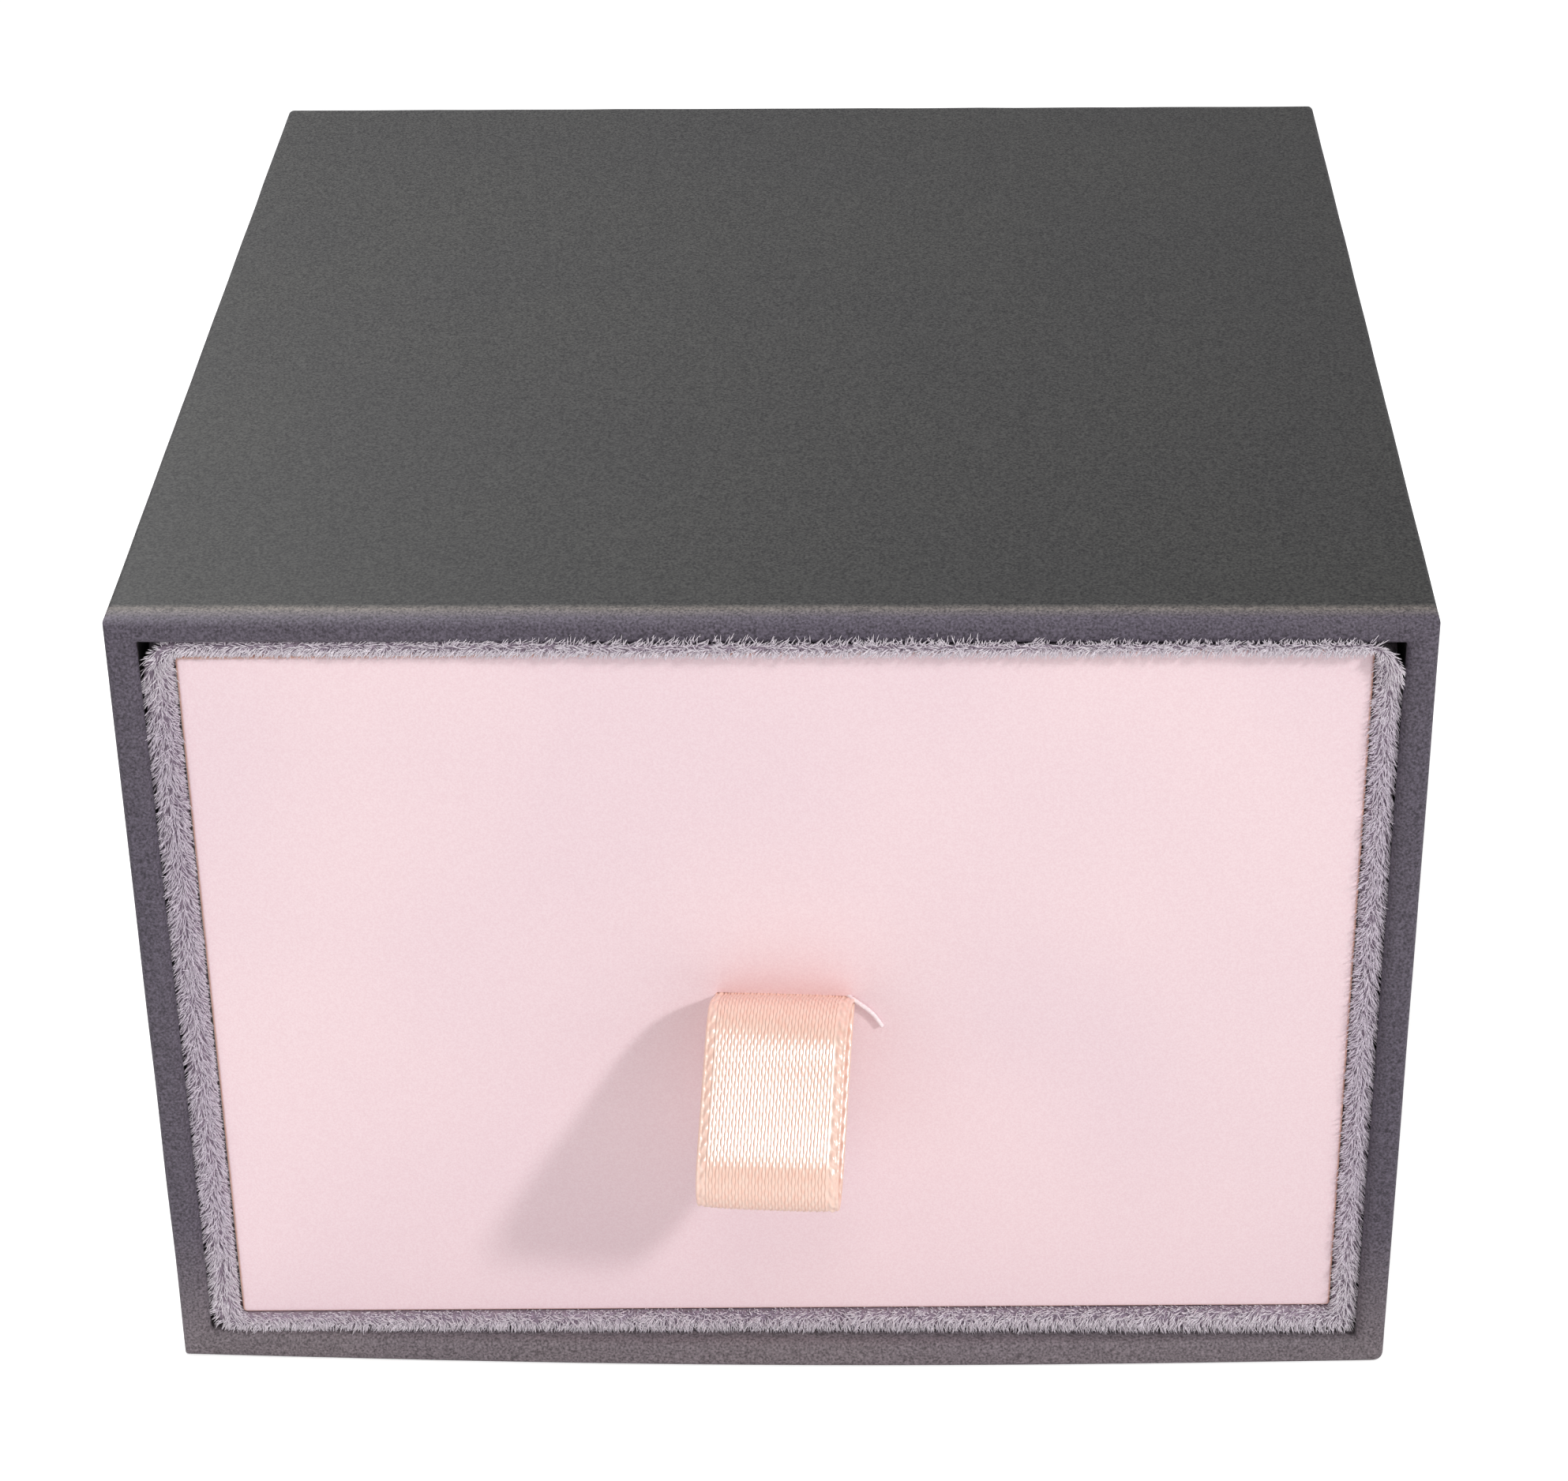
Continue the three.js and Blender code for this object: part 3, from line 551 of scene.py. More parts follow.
border_rings = [border_ring(cover_low.y + depth, 0.06) for depth in (BORDER_BACK, BORDER_BACK - 0.3)]
border_rings += [border_ring(cover_low.y + depth, 0) for depth in (2.6, 2, RIDGE_FOOT + 0.3)]
for turn in np.linspace(0, math.pi, 11):
    share = (1 - math.cos(turn)) / 2
    border_rings.append(border_ring(cover_low.y + RIDGE_FOOT - ridge_height(share), share))
border_rings += [border_ring(cover_low.y + depth, 1) for depth in (RIDGE_FOOT + 0.3, PANEL_SEAT_DEPTH)]
for ring in border_rings:
    ring[:, 1] += BORDER_WAVE * ripple(ring, 3.5, 5)
# The ground under the nap takes painted shade between the hairs.
pile_ground = plush_cloth("pile_ground", (205, 192, 203), painted_root_shade=(176, 160, 176))
plush_border = skin_over("front_plush_border", border_rings, pile_ground)
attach(plush_border, "drawer")


# Nap of the border: the pile of the same cloth, brushed up, with each hair made on its own.
# Along the top it is combed upwards at the outer edge, and it falls over the panel's edge at the inner one.
HAIR_WIDTH = 0.075
HAIR_LENGTH = 0.9
HAIRS_PER_MM = 92
TUFT_SIZE = 0.3
TUFT_ROWS = 6
TUFT_KINDS = 9973
TUFT_LEAN = 0.15
HAIR_LEAN = 0.26
WAVE_LEAN = 0.15
WAVE_LENGTH = 2.2
# Where along a hair its three-sided sections lie, and how wide it is at each. It ends in a tip.
HAIR_STEPS = (0, 0.45, 0.8)
HAIR_TAPER = (1, 0.95, 0.6)


def unit(vectors):
    """The same directions with a length of one."""
    return vectors / np.linalg.norm(vectors, axis=1)[:, None]


def hairs(name, roots, stand, lie, length, material):
    """Fine tapered hairs in millimetres: each stands up from its root and bends over the way it lies."""
    widths = HAIR_WIDTH / 2 * np.array(HAIR_TAPER)
    across = unit(np.cross(lie, stand))
    over = np.cross(across, unit(lie))
    sides = [0, 2 * math.pi / 3, 4 * math.pi / 3]
    columns = []
    for along, width in zip(HAIR_STEPS, widths):
        rise = 0.68 * along - 0.28 * along ** 2
        middle = roots + length[:, None] * (stand * rise + lie * 0.8 * along ** 1.3)
        columns += [middle + width * (across * math.cos(side) + over * math.sin(side)) for side in sides]
    columns.append(roots + length[:, None] * (stand * 0.4 + lie * 0.8))
    per_hair = len(columns)
    points = np.stack(columns, 1).reshape(-1, 3)
    faces = []
    for low in (0, 3):
        for side in range(3):
            beside = (side + 1) % 3
            faces.append((low + side, low + beside, low + 3 + beside))
            faces.append((low + side, low + 3 + beside, low + 3 + side))
    faces += [(6 + side, 6 + (side + 1) % 3, 9) for side in range(3)]
    one_hair = np.array(faces)
    starts = np.arange(len(roots)) * per_hair
    triangles = (starts[:, None, None] + one_hair).reshape(-1, 3)
    mesh = bpy.data.meshes.new(name)
    mesh.from_pydata(points * MM, [], triangles)
    mesh.shade_smooth()
    mesh.materials.append(material)
    along_of = np.append(np.repeat(HAIR_STEPS, 3), 1)
    chance = np.random.default_rng(len(roots))
    own_row = chance.uniform(0.01, 0.99, len(roots))
    corners = triangles.reshape(-1)
    rows = np.stack([along_of[corners % per_hair], own_row[corners // per_hair]], 1)
    rows[:, 1] += 0.002 * (corners % per_hair % 3)
    mesh.uv_layers.new(name="OFBake").data.foreach_set("uv", rows.astype(np.float32).ravel())
    piece = bpy.data.objects.new(name, mesh)
    bpy.context.scene.collection.objects.link(piece)
    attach(piece, "drawer")


def hair_finish(name, painted_root_shade, tip_shade):
    """Each hair has painted shade at its root, no two have the same tone, and the upright borders have
    painted shade, so that the top and the foot are lighter.
    """
    hair, shader = new_finish(name, 0.42, 0.6)
    tree = hair.node_tree
    rows = tree.nodes.new("ShaderNodeUVMap")
    rows.uv_map = "OFBake"
    split = tree.nodes.new("ShaderNodeSeparateXYZ")
    tree.links.new(rows.outputs["UV"], split.inputs["Vector"])
    # Painted shade, darkest at the root of each hair.
    along = between(hair, split.outputs["X"], paint(*painted_root_shade), paint(*tip_shade), 0.0, 0.4)
    spread = tree.nodes.new("ShaderNodeTexNoise")
    spread.noise_dimensions = "1D"
    spread.inputs["Scale"].default_value = 900
    spread.inputs["Detail"].default_value = 0
    tree.links.new(split.outputs["Y"], spread.inputs["W"])
    tone = between(hair, spread.outputs["Fac"], paint(228, 222, 230), paint(255, 255, 255), 0.3, 0.7)
    # Painted shade on the upright sides of the border, so that the top and the foot are lighter.
    height = graded(hair, 0, 63, "Z")
    lower = between(hair, height, paint(255, 255, 255), paint(247, 244, 249), 0.1, 0.2)
    upper = between(hair, height, paint(247, 244, 249), paint(255, 255, 255), 0.85, 0.93)
    light = blended(hair, graded(hair, 30, 34, "Z"), lower, upper)
    shader.inputs["Sheen Weight"].default_value = 0.8
    shader.inputs["Sheen Roughness"].default_value = 0.5
    shader.inputs["Sheen Tint"].default_value = paint(250, 240, 250)
    colour_from(hair, shader, multiplied(hair, multiplied(hair, along, tone), light))
    return hair


nap = hair_finish("plush_nap", (214, 198, 216), (255, 250, 254))
fine = {"corner_steps": 40, "side_steps": 400}
outer_line = border_ring(cover_low.y, 0, **fine)
inner_line = border_ring(cover_low.y, 1, **fine)
middle_line = (outer_line + inner_line) / 2
steps_along = np.linalg.norm(np.roll(middle_line, -1, 0) - middle_line, axis=1)
distance = np.concatenate([[0], np.cumsum(steps_along)])
border_length = distance[-1]
outer_loop = np.concatenate([outer_line, outer_line[:1]])
inner_loop = np.concatenate([inner_line, inner_line[:1]])


def at_distance(loop, where):
    """Points of a loop round the panel at distances along the border's middle line."""
    return np.stack([np.interp(where, distance, loop[:, axis]) for axis in range(3)], 1)


nap_chance = np.random.default_rng(11)
hair_count = int(border_length * HAIRS_PER_MM)
where = np.sort(nap_chance.uniform(0, border_length, hair_count))
share = nap_chance.uniform(0.0, 1.0, hair_count) ** 0.85
outer_at = at_distance(outer_loop, where)
inner_at = at_distance(inner_loop, where)
over_band = (outer_at - inner_at) * np.array([1, 0, 1])
outward = unit(over_band)
band = np.linalg.norm(over_band, axis=1)
roots = outer_at + (inner_at - outer_at) * share[:, None]
side = 1 - 2 * share
roots[:, 1] += RIDGE_FOOT - ridge_height(share) + 0.05
towards_front = np.array([0.0, -1.0, 0.0])
stand = unit(outward * (0.75 * side ** 3)[:, None] + towards_front)
along_top = outward[:, 2] > 0.5
combed = np.where(along_top, np.interp(share, (0, 0.3, 0.55, 1), (1.7, 1, -0.5, -0.8)), 1.05 * side)
lie = outward * combed[:, None] + np.array([0, 0, -0.5]) + towards_front * 0.12
lie[:, 0] += 0.8 * along_top * np.clip(3 * combed - 1.5, -1, 1)
tuft_column = np.floor(where / TUFT_SIZE).astype(int)
tuft_row = np.floor(share * TUFT_ROWS).astype(int)
tuft = (tuft_column * (TUFT_ROWS + 1) + tuft_row) % TUFT_KINDS
tuft_lean = nap_chance.normal(0, TUFT_LEAN, (TUFT_KINDS, 2))[tuft]
own_lean = nap_chance.normal(0, HAIR_LEAN, (hair_count, 2))
ruffled = (tuft_lean + own_lean) * (1 + 0.7 * along_top)[:, None]
lie[:, 0] += ruffled[:, 0] + WAVE_LEAN * ripple(roots, WAVE_LENGTH, 12)
lie[:, 2] += ruffled[:, 1] + WAVE_LEAN * ripple(roots, WAVE_LENGTH, 13)
lie = unit(lie)
length = HAIR_LENGTH * nap_chance.uniform(0.7, 1.15, hair_count)
outwards = (lie * outward).sum(1)
# Hairs are kept short enough to reach only this far over the panel, and over the border's outer edge.
over_panel = 0.03 + 0.07 * along_top
over_edge = np.where(np.abs(outward[:, 0] * outward[:, 2]) > 0.1, 0.25, 0.38)
over_edge += 0.45 * (outward[:, 2] > 0.95) * np.clip(0.75 + roots[:, 0] / 60, 0, 1)
room = np.where(outwards < 0, (1 - share) * band + over_panel, share * band + over_edge)
length = np.clip(room / (0.8 * np.maximum(np.abs(outwards), 0.1)), 0.3, length)

quarters = 4
for quarter in range(quarters):
    run_start = border_length * quarter / quarters
    run_end = border_length * (quarter + 1) / quarters
    chosen = (where >= run_start) & (where < run_end)
    chosen &= (outward[:, 2] < 0.8) | (np.arange(hair_count) % 5 < 4)
    hairs(f"front_plush_nap_{quarter + 1}", roots[chosen], stand[chosen], lie[chosen], length[chosen], nap)


# Pad: two foam halves under plush, side by side on a card, with a slit between them for a ring.
# Each half is blown up by a cloth simulation, so that it is crowned and its edges are soft.
PAD_SWELL_UP = 0.9
PAD_SWELL_OUT = 0.18
PAD_MESH = 1.5
PAD_START_INSET = 0.35
PAD_EDGE_RADIUS = 3.2
PAD_PRESSURE = 4
PAD_STIFFNESS = 25
PAD_FRAMES = 20
PAD_WAVE = 0.12

card_stock, card_shader = new_finish("pad_card_stock", 0.85, 0.3)
card_pulp = between(card_stock, grain(card_stock, 0.5 * MM), paint(178, 175, 166), paint(196, 193, 184))
card_specks = between(card_stock, grain(card_stock, 0.15 * MM), paint(222, 220, 214), paint(255, 255, 255))
colour_from(card_stock, card_shader, multiplied(card_stock, card_pulp, card_specks))
emboss(card_stock, card_shader, grain(card_stock, 0.2 * MM), 0.01 * MM)
dress("pad_card", card_stock)
dress("front_panel_card", card_stock)


def swell(piece):
    """Blows the piece up like a stuffed cover, and holds it to the room that the tray leaves."""
    start = np.array([list(vertex.co) for vertex in piece.data.vertices])
    cloth = piece.modifiers.new("swell", "CLOTH")
    cloth.settings.use_pressure = True
    cloth.settings.uniform_pressure_force = PAD_PRESSURE
    cloth.settings.effector_weights.gravity = 0
    cloth.settings.mass = 0.3
    cloth.settings.tension_stiffness = PAD_STIFFNESS
    cloth.settings.compression_stiffness = PAD_STIFFNESS
    for step in range(1, PAD_FRAMES + 1):
        bpy.context.scene.frame_set(step)
    made = piece.evaluated_get(bpy.context.evaluated_depsgraph_get())
    blown = np.array([list(vertex.co) for vertex in made.data.vertices])
    moved = blown - start
    moved[:, :2] = np.clip(moved[:, :2], -PAD_SWELL_OUT * MM, PAD_SWELL_OUT * MM)
    moved[:, 2] = np.clip(moved[:, 2], 0, PAD_SWELL_UP * MM)
    piece.modifiers.remove(cloth)
    piece.data.vertices.foreach_set("co", (start + moved).ravel())
    bpy.context.scene.frame_set(1)


def pad_half(name, foam_node):
    """One half of the pad: a block with the foam's outline, rounded, blown up and dressed in plush."""
    foam_low, foam_high = (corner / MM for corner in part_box(foam_node))
    skin = PLUSH_THICKNESS + 0.03 - PAD_START_INSET
    low = Vector((foam_low.x + PAD_START_INSET, foam_low.y - skin, foam_low.z))
    high = Vector((foam_high.x - PAD_START_INSET, foam_high.y + skin, foam_high.z + skin - PAD_SWELL_UP))
    bpy.ops.mesh.primitive_cube_add(size=1, location=(low + high) / 2 * MM, scale=(high - low) * MM)
    piece = bpy.context.object
    piece.name = name
    bpy.ops.object.transform_apply(location=True, rotation=True, scale=True)
    round_edges = piece.modifiers.new("round", "BEVEL")
    round_edges.width = PAD_EDGE_RADIUS * MM
    round_edges.segments = 4
    even_mesh = piece.modifiers.new("even", "REMESH")
    even_mesh.mode = "VOXEL"
    even_mesh.voxel_size = PAD_MESH * MM
    for modifier in (round_edges, even_mesh):
        bpy.ops.object.modifier_apply(modifier=modifier.name)
    swell(piece)
    finer = piece.modifiers.new("finer", "SUBSURF")
    finer.levels = 1
    finer.render_levels = 1
    bpy.ops.object.modifier_apply(modifier=finer.name)
    points = np.array([list(vertex.co) for vertex in piece.data.vertices]) / MM
    points[:, 2] += (PAD_WAVE * ripple(points, 5, 6) - 0.05) * (points[:, 2] > low.z + 4)
    piece.data.vertices.foreach_set("co", (points * MM).ravel())
    piece.data.shade_smooth()
    piece.data.materials.clear()
    piece.data.materials.append(plush)
    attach(piece, "drawer")
    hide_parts(foam_node, "pad_cover")


pad_half("pad_half_front", "pad_foam_front")
pad_half("pad_half_back", "pad_foam_back")


# Front panel: a card wrapped in pale pink paper, set into the plush border, with a slit for the ribbon.
# Where the paper folds over the card's edges a warm painted light lies on the pink.
PANEL_EDGE_RADIUS = 0.34
PANEL_CORNER = 0.25
PANEL_TURN_IN = 8
SLIT_LIP = 0.08
SLIT_HALF_HEIGHT = 0.24
SLIT_TILT = 0.32
SLIT_HALF_WIDTH = 4.9
SLIT_DROP = 0.72

panel_paper, panel_shader = new_finish("panel_paper", 0.5, 0.35)
panel_grain = grain(panel_paper, 0.12 * MM, detail=2)
panel_pink = between(panel_paper, panel_grain, paint(244, 216, 221), paint(249, 225, 229))
cloudy = grain(panel_paper, 22 * MM, detail=1)
panel_clouds = between(panel_paper, cloudy, paint(251, 251, 253), paint(255, 255, 255))
panel_face = multiplied(panel_paper, panel_pink, panel_clouds)
# Painted warm light along the paper's folds over the card's edges.
painted_fold_light = between(panel_paper, grain(panel_paper, 0.3 * MM), paint(236, 186, 166), paint(246, 202, 182))
fold_depth = graded(panel_paper, panel_low.y + 0.015, panel_low.y + 0.09)
colour_from(panel_paper, panel_shader, blended(panel_paper, fold_depth, panel_face, painted_fold_light))
emboss(panel_paper, panel_shader, grain(panel_paper, 0.12 * MM, detail=2), 0.006 * MM)

tail_low, tail_high = (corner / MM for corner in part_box("ribbon_tail_upper"))
ribbon_middle = (tail_low.x + tail_high.x) / 2
slit_height = tail_low.z - SLIT_DROP


def panel_ring(y, inset):
    """A ring round the panel at y, that far inside its outline."""
    low = (panel_low.x + inset, panel_low.z + inset)
    high = (panel_high.x - inset, panel_high.z - inset)
    ring = ring_at(y, low, high, PANEL_CORNER)
    return ring + panel_shift(ring)


def slit_ring(y, grown):
    """A ring round the slit at y, that far outside its edge."""
    low = (ribbon_middle - SLIT_HALF_WIDTH - grown, slit_height - SLIT_HALF_HEIGHT - grown)
    high = (ribbon_middle + SLIT_HALF_WIDTH + grown, slit_height + SLIT_HALF_HEIGHT + grown)
    ring = ring_at(y, low, high, 0.1 + grown)
    ring[:, 2] -= SLIT_TILT * (ring[:, 0] - ribbon_middle) / 10
    return ring


panel_rings = [panel_ring(panel_high.y, PANEL_TURN_IN), panel_ring(panel_high.y, 0.2)]
panel_rings += [panel_ring(panel_high.y - 0.2, 0), panel_ring(panel_low.y + PANEL_EDGE_RADIUS + 0.1, 0)]
for turn in np.linspace(0, math.pi / 2, 6):
    depth = PANEL_EDGE_RADIUS * (1 - math.sin(turn))
    panel_rings.append(panel_ring(panel_low.y + depth, PANEL_EDGE_RADIUS * (1 - math.cos(turn))))
face_edge = panel_ring(panel_low.y, PANEL_EDGE_RADIUS + 0.3)
slit_edge = slit_ring(panel_low.y, SLIT_LIP + 0.4)
for share in np.linspace(0, 1, 12):
    panel_rings.append(face_edge * (1 - share) + slit_edge * share)
for turn in np.linspace(0, math.pi / 2, 5):
    depth = SLIT_LIP * (1 - math.cos(turn))
    panel_rings.append(slit_ring(panel_low.y + depth, SLIT_LIP * (1 - math.sin(turn))))
panel_rings.append(slit_ring(panel_low.y + 1, 0))
front_panel = skin_over("front_panel_wrap", panel_rings, panel_paper)
thicken(front_panel, WRAP_THICKNESS)
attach(front_panel, "drawer")
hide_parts("front_panel_paper")


# Ribbon pull: a strip of peach satin, 10 mm wide, doubled into a loop that comes out of the slit.
# Its face is woven in staggered floats along the ribbon, with a firm selvedge down each edge.
RIBBON_THICKNESS = 0.3
COLUMNS = 37
FLOAT_LENGTH = 0.88
FLOAT_RISE = 0.1
STRAND_SWAY = 0.11
SELVEDGE = 0.7
EDGE_CORD = 0.24
SELVEDGE_PITCH = 1.15
EDGE_CURL = 0.15
LEAN = 1.05
LOOP_REACH = 12
TILT_REACH = 6
STATIONS = 330
# The loop's middle line from the slit out and back, as millimetres out of the panel and up from the slit.
# The last value is how much further out its right edge lies than its left, as the loop is slightly twisted.
loop_line = [
    (-0.25, 0.17, 0), (0.4, 0.3, 0), (1.3, 0.8, 0), (2.7, 1.38, 0.2), (4.3, 1.35, 1.0), (6, 0.35, 1.35),
    (7.9, -1.85, 1.0), (9.85, -4.1, 0.65), (11.8, -6.35, 0.55), (12.4, -8.35, 0.6), (11.75, -9.85, 0.55),
    (10.4, -10.05, 0.4), (8.4, -8.6, 0.3), (6, -6, 0.2), (3.6, -3.3, 0.2), (1.5, -1.2, 0), (0.48, -0.38, 0),
    (-0.25, -0.16, 0),
]

satin, satin_shader = new_finish("satin", 0.3, 1.0)
satin_tone = between(satin, grain(satin, 0.18 * MM, (1, 3, 3)), paint(255, 206, 185), paint(255, 220, 202))
colour_from(satin, satin_shader, satin_tone)
emboss(satin, satin_shader, grain(satin, 0.06 * MM, (1, 6, 6), detail=1), 0.002 * MM)
satin_shader.inputs["IOR"].default_value = 1.9
satin_shader.inputs["Sheen Weight"].default_value = 0.15


def smooth_line(points, count):
    """A smooth curve through the points, at even steps."""
    ends = [2 * points[0] - points[1]] + list(points) + [2 * points[-1] - points[-2]]
    runs = []
    for before, start, end, after in zip(ends, ends[1:], ends[2:], ends[3:]):
        share = np.linspace(0, 1, 40, endpoint=False)[:, None]
        runs.append(0.5 * (2 * start + (end - before) * share
                           + (2 * before - 5 * start + 4 * end - after) * share ** 2
                           + (3 * start - 3 * end + after - before) * share ** 3))
    curve = np.concatenate(runs + [points[-1:]])
    along = np.concatenate([[0], np.cumsum(np.linalg.norm(np.diff(curve, axis=0), axis=1))])
    even = np.linspace(0, along[-1], count)
    return np.stack([np.interp(even, along, curve[:, axis]) for axis in range(2)], 1), along[-1]


loop_points = np.array(loop_line)
half_twist = np.stack([loop_points[:, 2] / 2, np.zeros(len(loop_points))], 1)
left_line, ribbon_length = smooth_line(loop_points[:, :2] - half_twist, STATIONS)
right_line, _ = smooth_line(loop_points[:, :2] + half_twist, STATIONS)
ribbon_width = round(tail_high.x - tail_low.x, 3)


def strand_edges(along):
    """Where the strands of the face meet across the ribbon; each is widest where the next one is narrow."""
    sway = STRAND_SWAY * math.cos(2 * math.pi * along / FLOAT_LENGTH) * (-1.0) ** np.arange(COLUMNS + 1)
    sway[[0, -1]] = 0
    return SELVEDGE + (ribbon_width - 2 * SELVEDGE) * (np.arange(COLUMNS + 1) + sway) / COLUMNS


def selvedge_height(across, along):
    """Height of the ribbon's edges: a cord, and beside it the loops of the weft where it turns back."""
    from_edge = np.minimum(across, ribbon_width - across)
    in_cord = np.sin(math.pi * np.clip(from_edge / EDGE_CORD, 0, 1)) ** 0.5
    pick = np.sin(2 * math.pi * along / SELVEDGE_PITCH * 2)
    cord = FLOAT_RISE * in_cord * (0.75 + 0.25 * pick)
    in_loops = np.clip((from_edge - EDGE_CORD) / (SELVEDGE - EDGE_CORD), 0, 1)
    turns = along / SELVEDGE_PITCH + 0.35 * in_loops + 0.3 * (across > ribbon_width / 2)
    loops = FLOAT_RISE * 1.6 * np.sin(math.pi * in_loops) ** 0.7 * (0.5 + 0.5 * np.sin(2 * math.pi * turns))
    return np.where(from_edge < EDGE_CORD, cord, loops)


left_selvedge = np.linspace(0, SELVEDGE, 11)[:-1]
right_selvedge = ribbon_width - left_selvedge[::-1]
# Each strand leans over the next one like a roof tile: places across it, and its height at each.
strand_places = np.array([0.01, 0.14, 0.22, 0.58, 0.94])
strand_heights = np.array([0.13, 0.98, 1, 0.61, 0.18])


def woven_section(along):
    """Places across the ribbon and heights over its middle, round one section: the face, then the back."""
    edges = strand_edges(along)
    widths = np.diff(edges)[:, None]
    strands = (edges[:-1, None] + widths * strand_places).ravel()
    rises = (FLOAT_RISE * widths / widths.mean() * strand_heights).ravel()
    across = np.concatenate([left_selvedge, strands, right_selvedge])
    height = np.concatenate(
        [selvedge_height(left_selvedge, along), rises, selvedge_height(right_selvedge, along)])
    ground = RIBBON_THICKNESS / 2 - FLOAT_RISE
    across = np.concatenate([across, across[::-3]])
    height = np.concatenate([ground + height, -ground - height[::-3]])
    return across, height - EDGE_CURL * (2 * across / ribbon_width - 1) ** 4


def woven_rings(left_line, right_line, length):
    """Rings of a woven strip whose edges follow two lines, given as millimetres out of the panel and up."""
    heading = np.gradient((left_line + right_line) / 2, axis=0)
    heading /= np.linalg.norm(heading, axis=1)[:, None]
    rings = []
    travels = np.linspace(0, length, len(heading))
    for travel, left, right, (out, up) in zip(travels, left_line, right_line, heading):
        across, height = woven_section(travel)
        share = (across / ribbon_width)[:, None]
        place = left * (1 - share) + right * share + height[:, None] * np.array([-up, out])
        x = tail_low.x + across - LEAN * np.maximum(place[:, 0], 0) / LOOP_REACH
        tilt = SLIT_TILT * (0.5 - across / ribbon_width) * np.clip(1 - place[:, 0] / TILT_REACH, 0, 1)
        rings.append(np.stack([x, panel_low.y - place[:, 0], slit_height + place[:, 1] + tilt], 1))
    return rings


ribbon_rings = woven_rings(left_line, right_line, ribbon_length)
ribbon_pull = skin_over("ribbon_pull", ribbon_rings, satin, caps=2)
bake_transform(ribbon_pull)
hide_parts("ribbon_loop")


# Ribbon tails: the strip's two ends behind the panel, of the same woven satin.
# They part at the slit and are glued flat, one up and one down the back of the panel card.
TAIL_STATIONS = 110

for level in ("upper", "lower"):
    low, high = (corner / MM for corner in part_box(f"ribbon_tail_{level}"))
    out = panel_low.y - (low.y + high.y) / 2
    ends = np.array([(out, low.z - slit_height + 0.2), (out, high.z - slit_height - 0.2)])
    tail_line, tail_length = smooth_line(ends, TAIL_STATIONS)
    tail_rings = woven_rings(tail_line, tail_line, tail_length)
    ribbon_tail = skin_over(f"ribbon_tail_{level}_strip", tail_rings, satin, caps=2)
    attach(ribbon_tail, "drawer")
    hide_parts(f"ribbon_tail_{level}")


# Loose thread: an end of white sewing cotton that sticks out at the right end of the slit.
# It comes out beside the ribbon and bends down over the panel's face.
THREAD_RADIUS = 0.16

thread_cotton, thread_shader = new_finish("thread_cotton", 0.7, 0.3)
colour_from(thread_cotton, thread_shader, between(
    thread_cotton, grain(thread_cotton, 0.08 * MM, (2, 2, 1)), paint(250, 228, 232), paint(255, 246, 248)))
emboss(thread_cotton, thread_shader, grain(thread_cotton, 0.1 * MM, (2, 2, 1)), 0.02 * MM)
thread_line = bpy.data.curves.new("loose_thread", "CURVE")
thread_line.dimensions = "3D"
thread_line.bevel_depth = THREAD_RADIUS * MM
thread_line.bevel_resolution = 3
thread_line.use_fill_caps = True
thread_run = thread_line.splines.new("NURBS")
thread_route = [
    (4.9, 0.5, 0.15), (5.4, -0.2, 0.1), (5.9, -0.42, -0.15),
    (6.7, -0.36, -0.85), (7.2, -0.3, -1.5), (7.6, -0.26, -2.25),
]
thread_run.points.add(len(thread_route) - 1)
for point, (x, out, up) in zip(thread_run.points, thread_route):
    point.co = (x * MM, (panel_low.y + out) * MM, (slit_height + up) * MM, 1)
thread_run.use_endpoint_u = True
thread_run.order_u = 3
loose_thread = bpy.data.objects.new("loose_thread", thread_line)
loose_thread.data.materials.append(thread_cotton)
bpy.context.scene.collection.objects.link(loose_thread)
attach(loose_thread, "drawer")


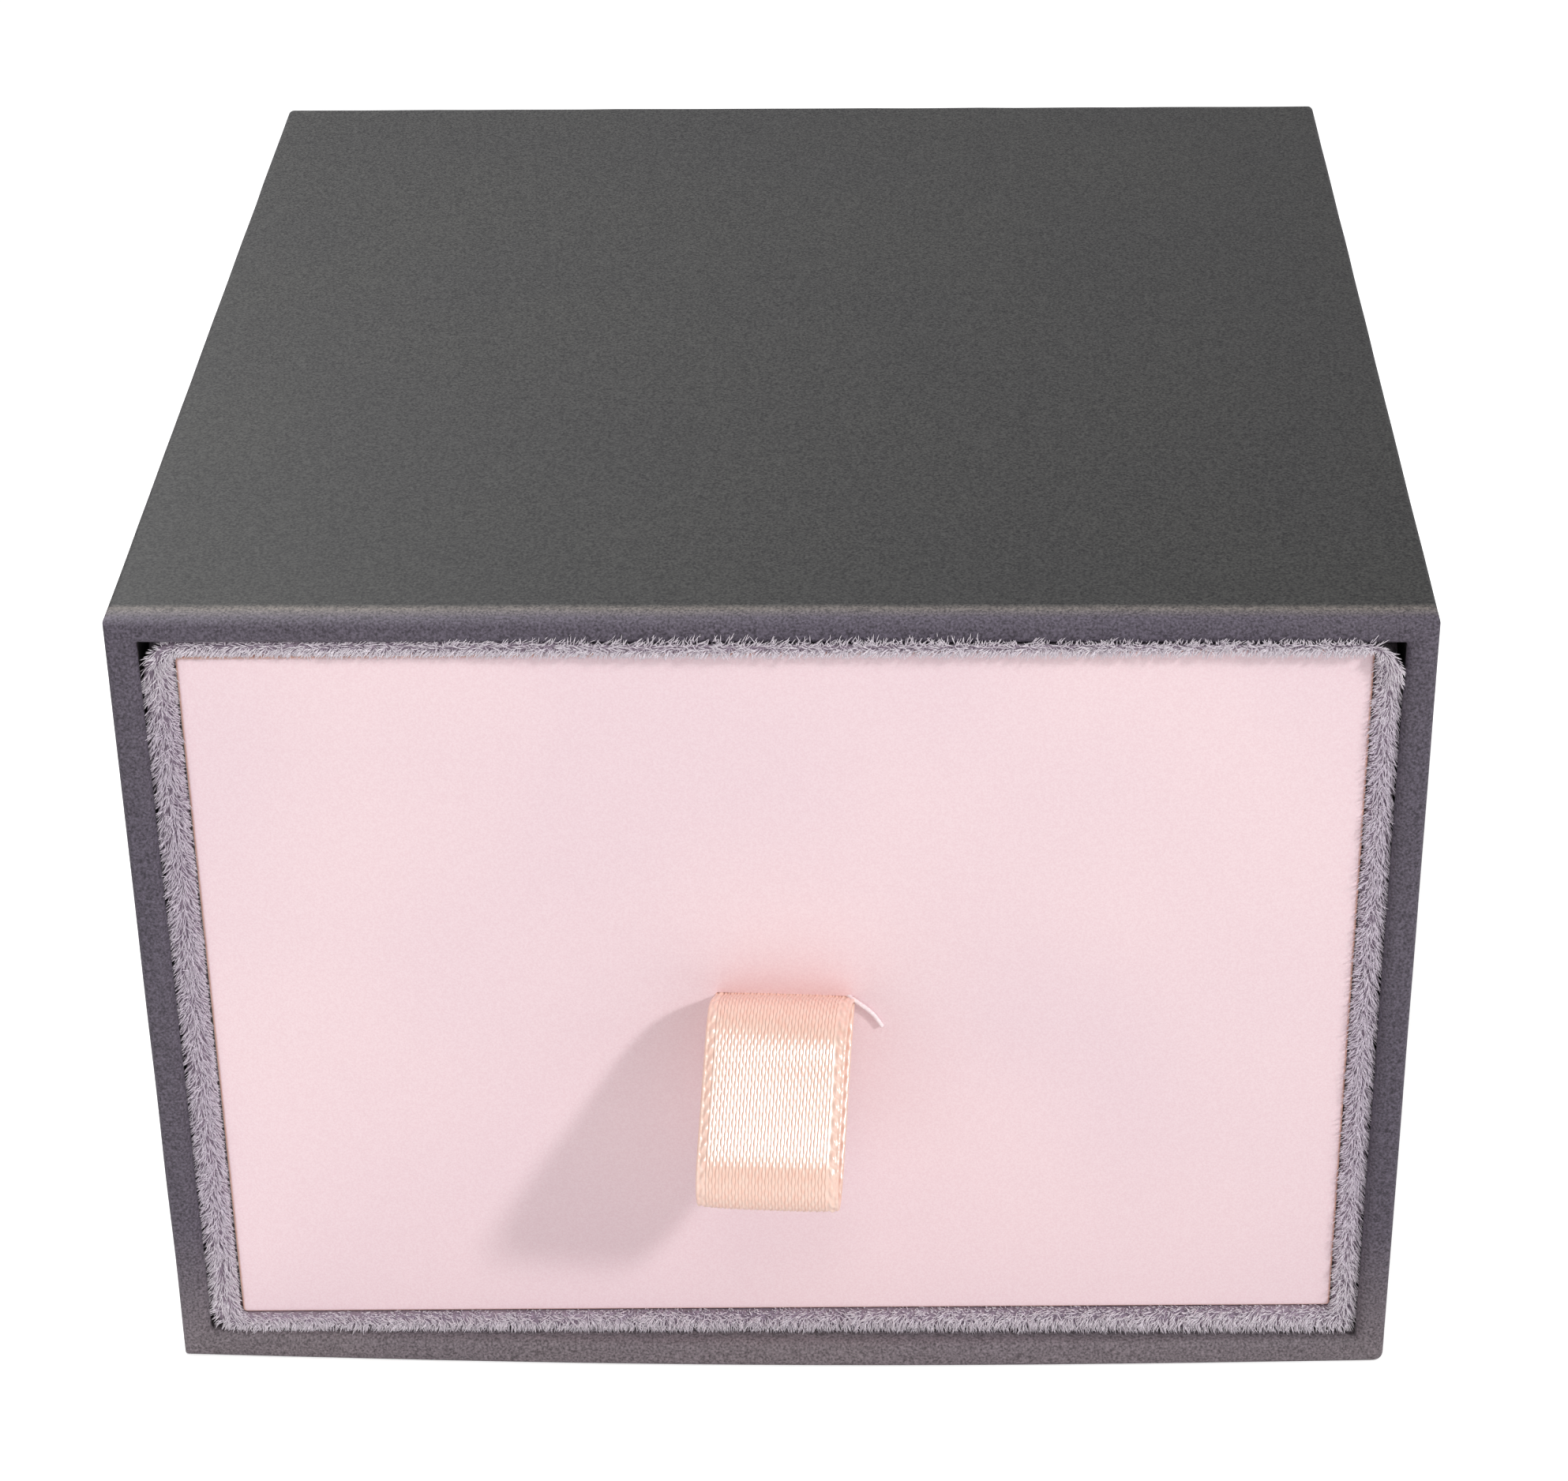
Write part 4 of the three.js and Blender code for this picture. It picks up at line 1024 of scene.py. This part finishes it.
# Studio: a plain white floor and surround, a broad soft light all round and one small key from the right.
# To the camera the floor is a little brighter than it is lit, so that only the box's shadow shows on it.
KEY_POWER = 4.15
SURROUND = 0.42
FLOOR_GLOW = 0.5
FLOOR_SIZE = 6
floor_paper, floor_shader = new_finish("floor_paper", 0.9, 0.1)
floor_tree = floor_paper.node_tree
colour_from(floor_paper, floor_shader, between(
    floor_paper, grain(floor_paper, 40 * MM), paint(240, 240, 240), paint(243, 243, 243)))
seen_by = floor_tree.nodes.new("ShaderNodeLightPath")
extra = floor_tree.nodes.new("ShaderNodeMath")
extra.operation = "MULTIPLY"
extra.inputs[1].default_value = FLOOR_GLOW
floor_tree.links.new(seen_by.outputs["Is Camera Ray"], extra.inputs[0])
floor_shader.inputs["Emission Color"].default_value = (1, 1, 1, 1)
floor_tree.links.new(extra.outputs["Value"], floor_shader.inputs["Emission Strength"])
bpy.ops.mesh.primitive_plane_add(size=FLOOR_SIZE, location=(0, 0, 0))
floor = bpy.context.object
floor.name = "floor"
floor.data.materials.append(floor_paper)

world = bpy.data.worlds.new("studio")
bpy.context.scene.world = world
world.use_nodes = True
world_tree = world.node_tree
surround = world_tree.nodes["Background"]
surround.inputs["Color"].default_value = (1, 1, 1, 1)
world_rays = world_tree.nodes.new("ShaderNodeLightPath")
shown_white = world_tree.nodes.new("ShaderNodeMapRange")
shown_white.inputs["To Min"].default_value = SURROUND
shown_white.inputs["To Max"].default_value = 1
world_tree.links.new(world_rays.outputs["Is Camera Ray"], shown_white.inputs["Value"])
world_tree.links.new(shown_white.outputs["Result"], surround.inputs["Strength"])


def lamp(name, towards, reach, size, power, colour=(1, 1, 1)):
    """A square soft lamp that faces the box from a distance."""
    data = bpy.data.lights.new(name, "AREA")
    data.size = size
    data.energy = power
    data.color = colour
    piece = bpy.data.objects.new(name, data)
    bpy.context.scene.collection.objects.link(piece)
    way = Vector(towards).normalized()
    piece.location = Vector((0, 0, 0.03)) + way * reach
    piece.rotation_euler = way.to_track_quat("Z", "Y").to_euler()


lamp("key", (0.63, -0.535, 0.557), 1.0, 0.09, KEY_POWER)
lamp("front_fill", (-0.35, -1, 0), 0.45, 0.3, 0.31, (1, 0.98, 1))
lamp("front_top", (0, -0.6, 0.75), 0.7, 0.2, 0.4, (1, 0.96, 0.9))
lamp("upper_left", (-0.45, 0.25, 0.85), 0.2, 0.08, 0.28)
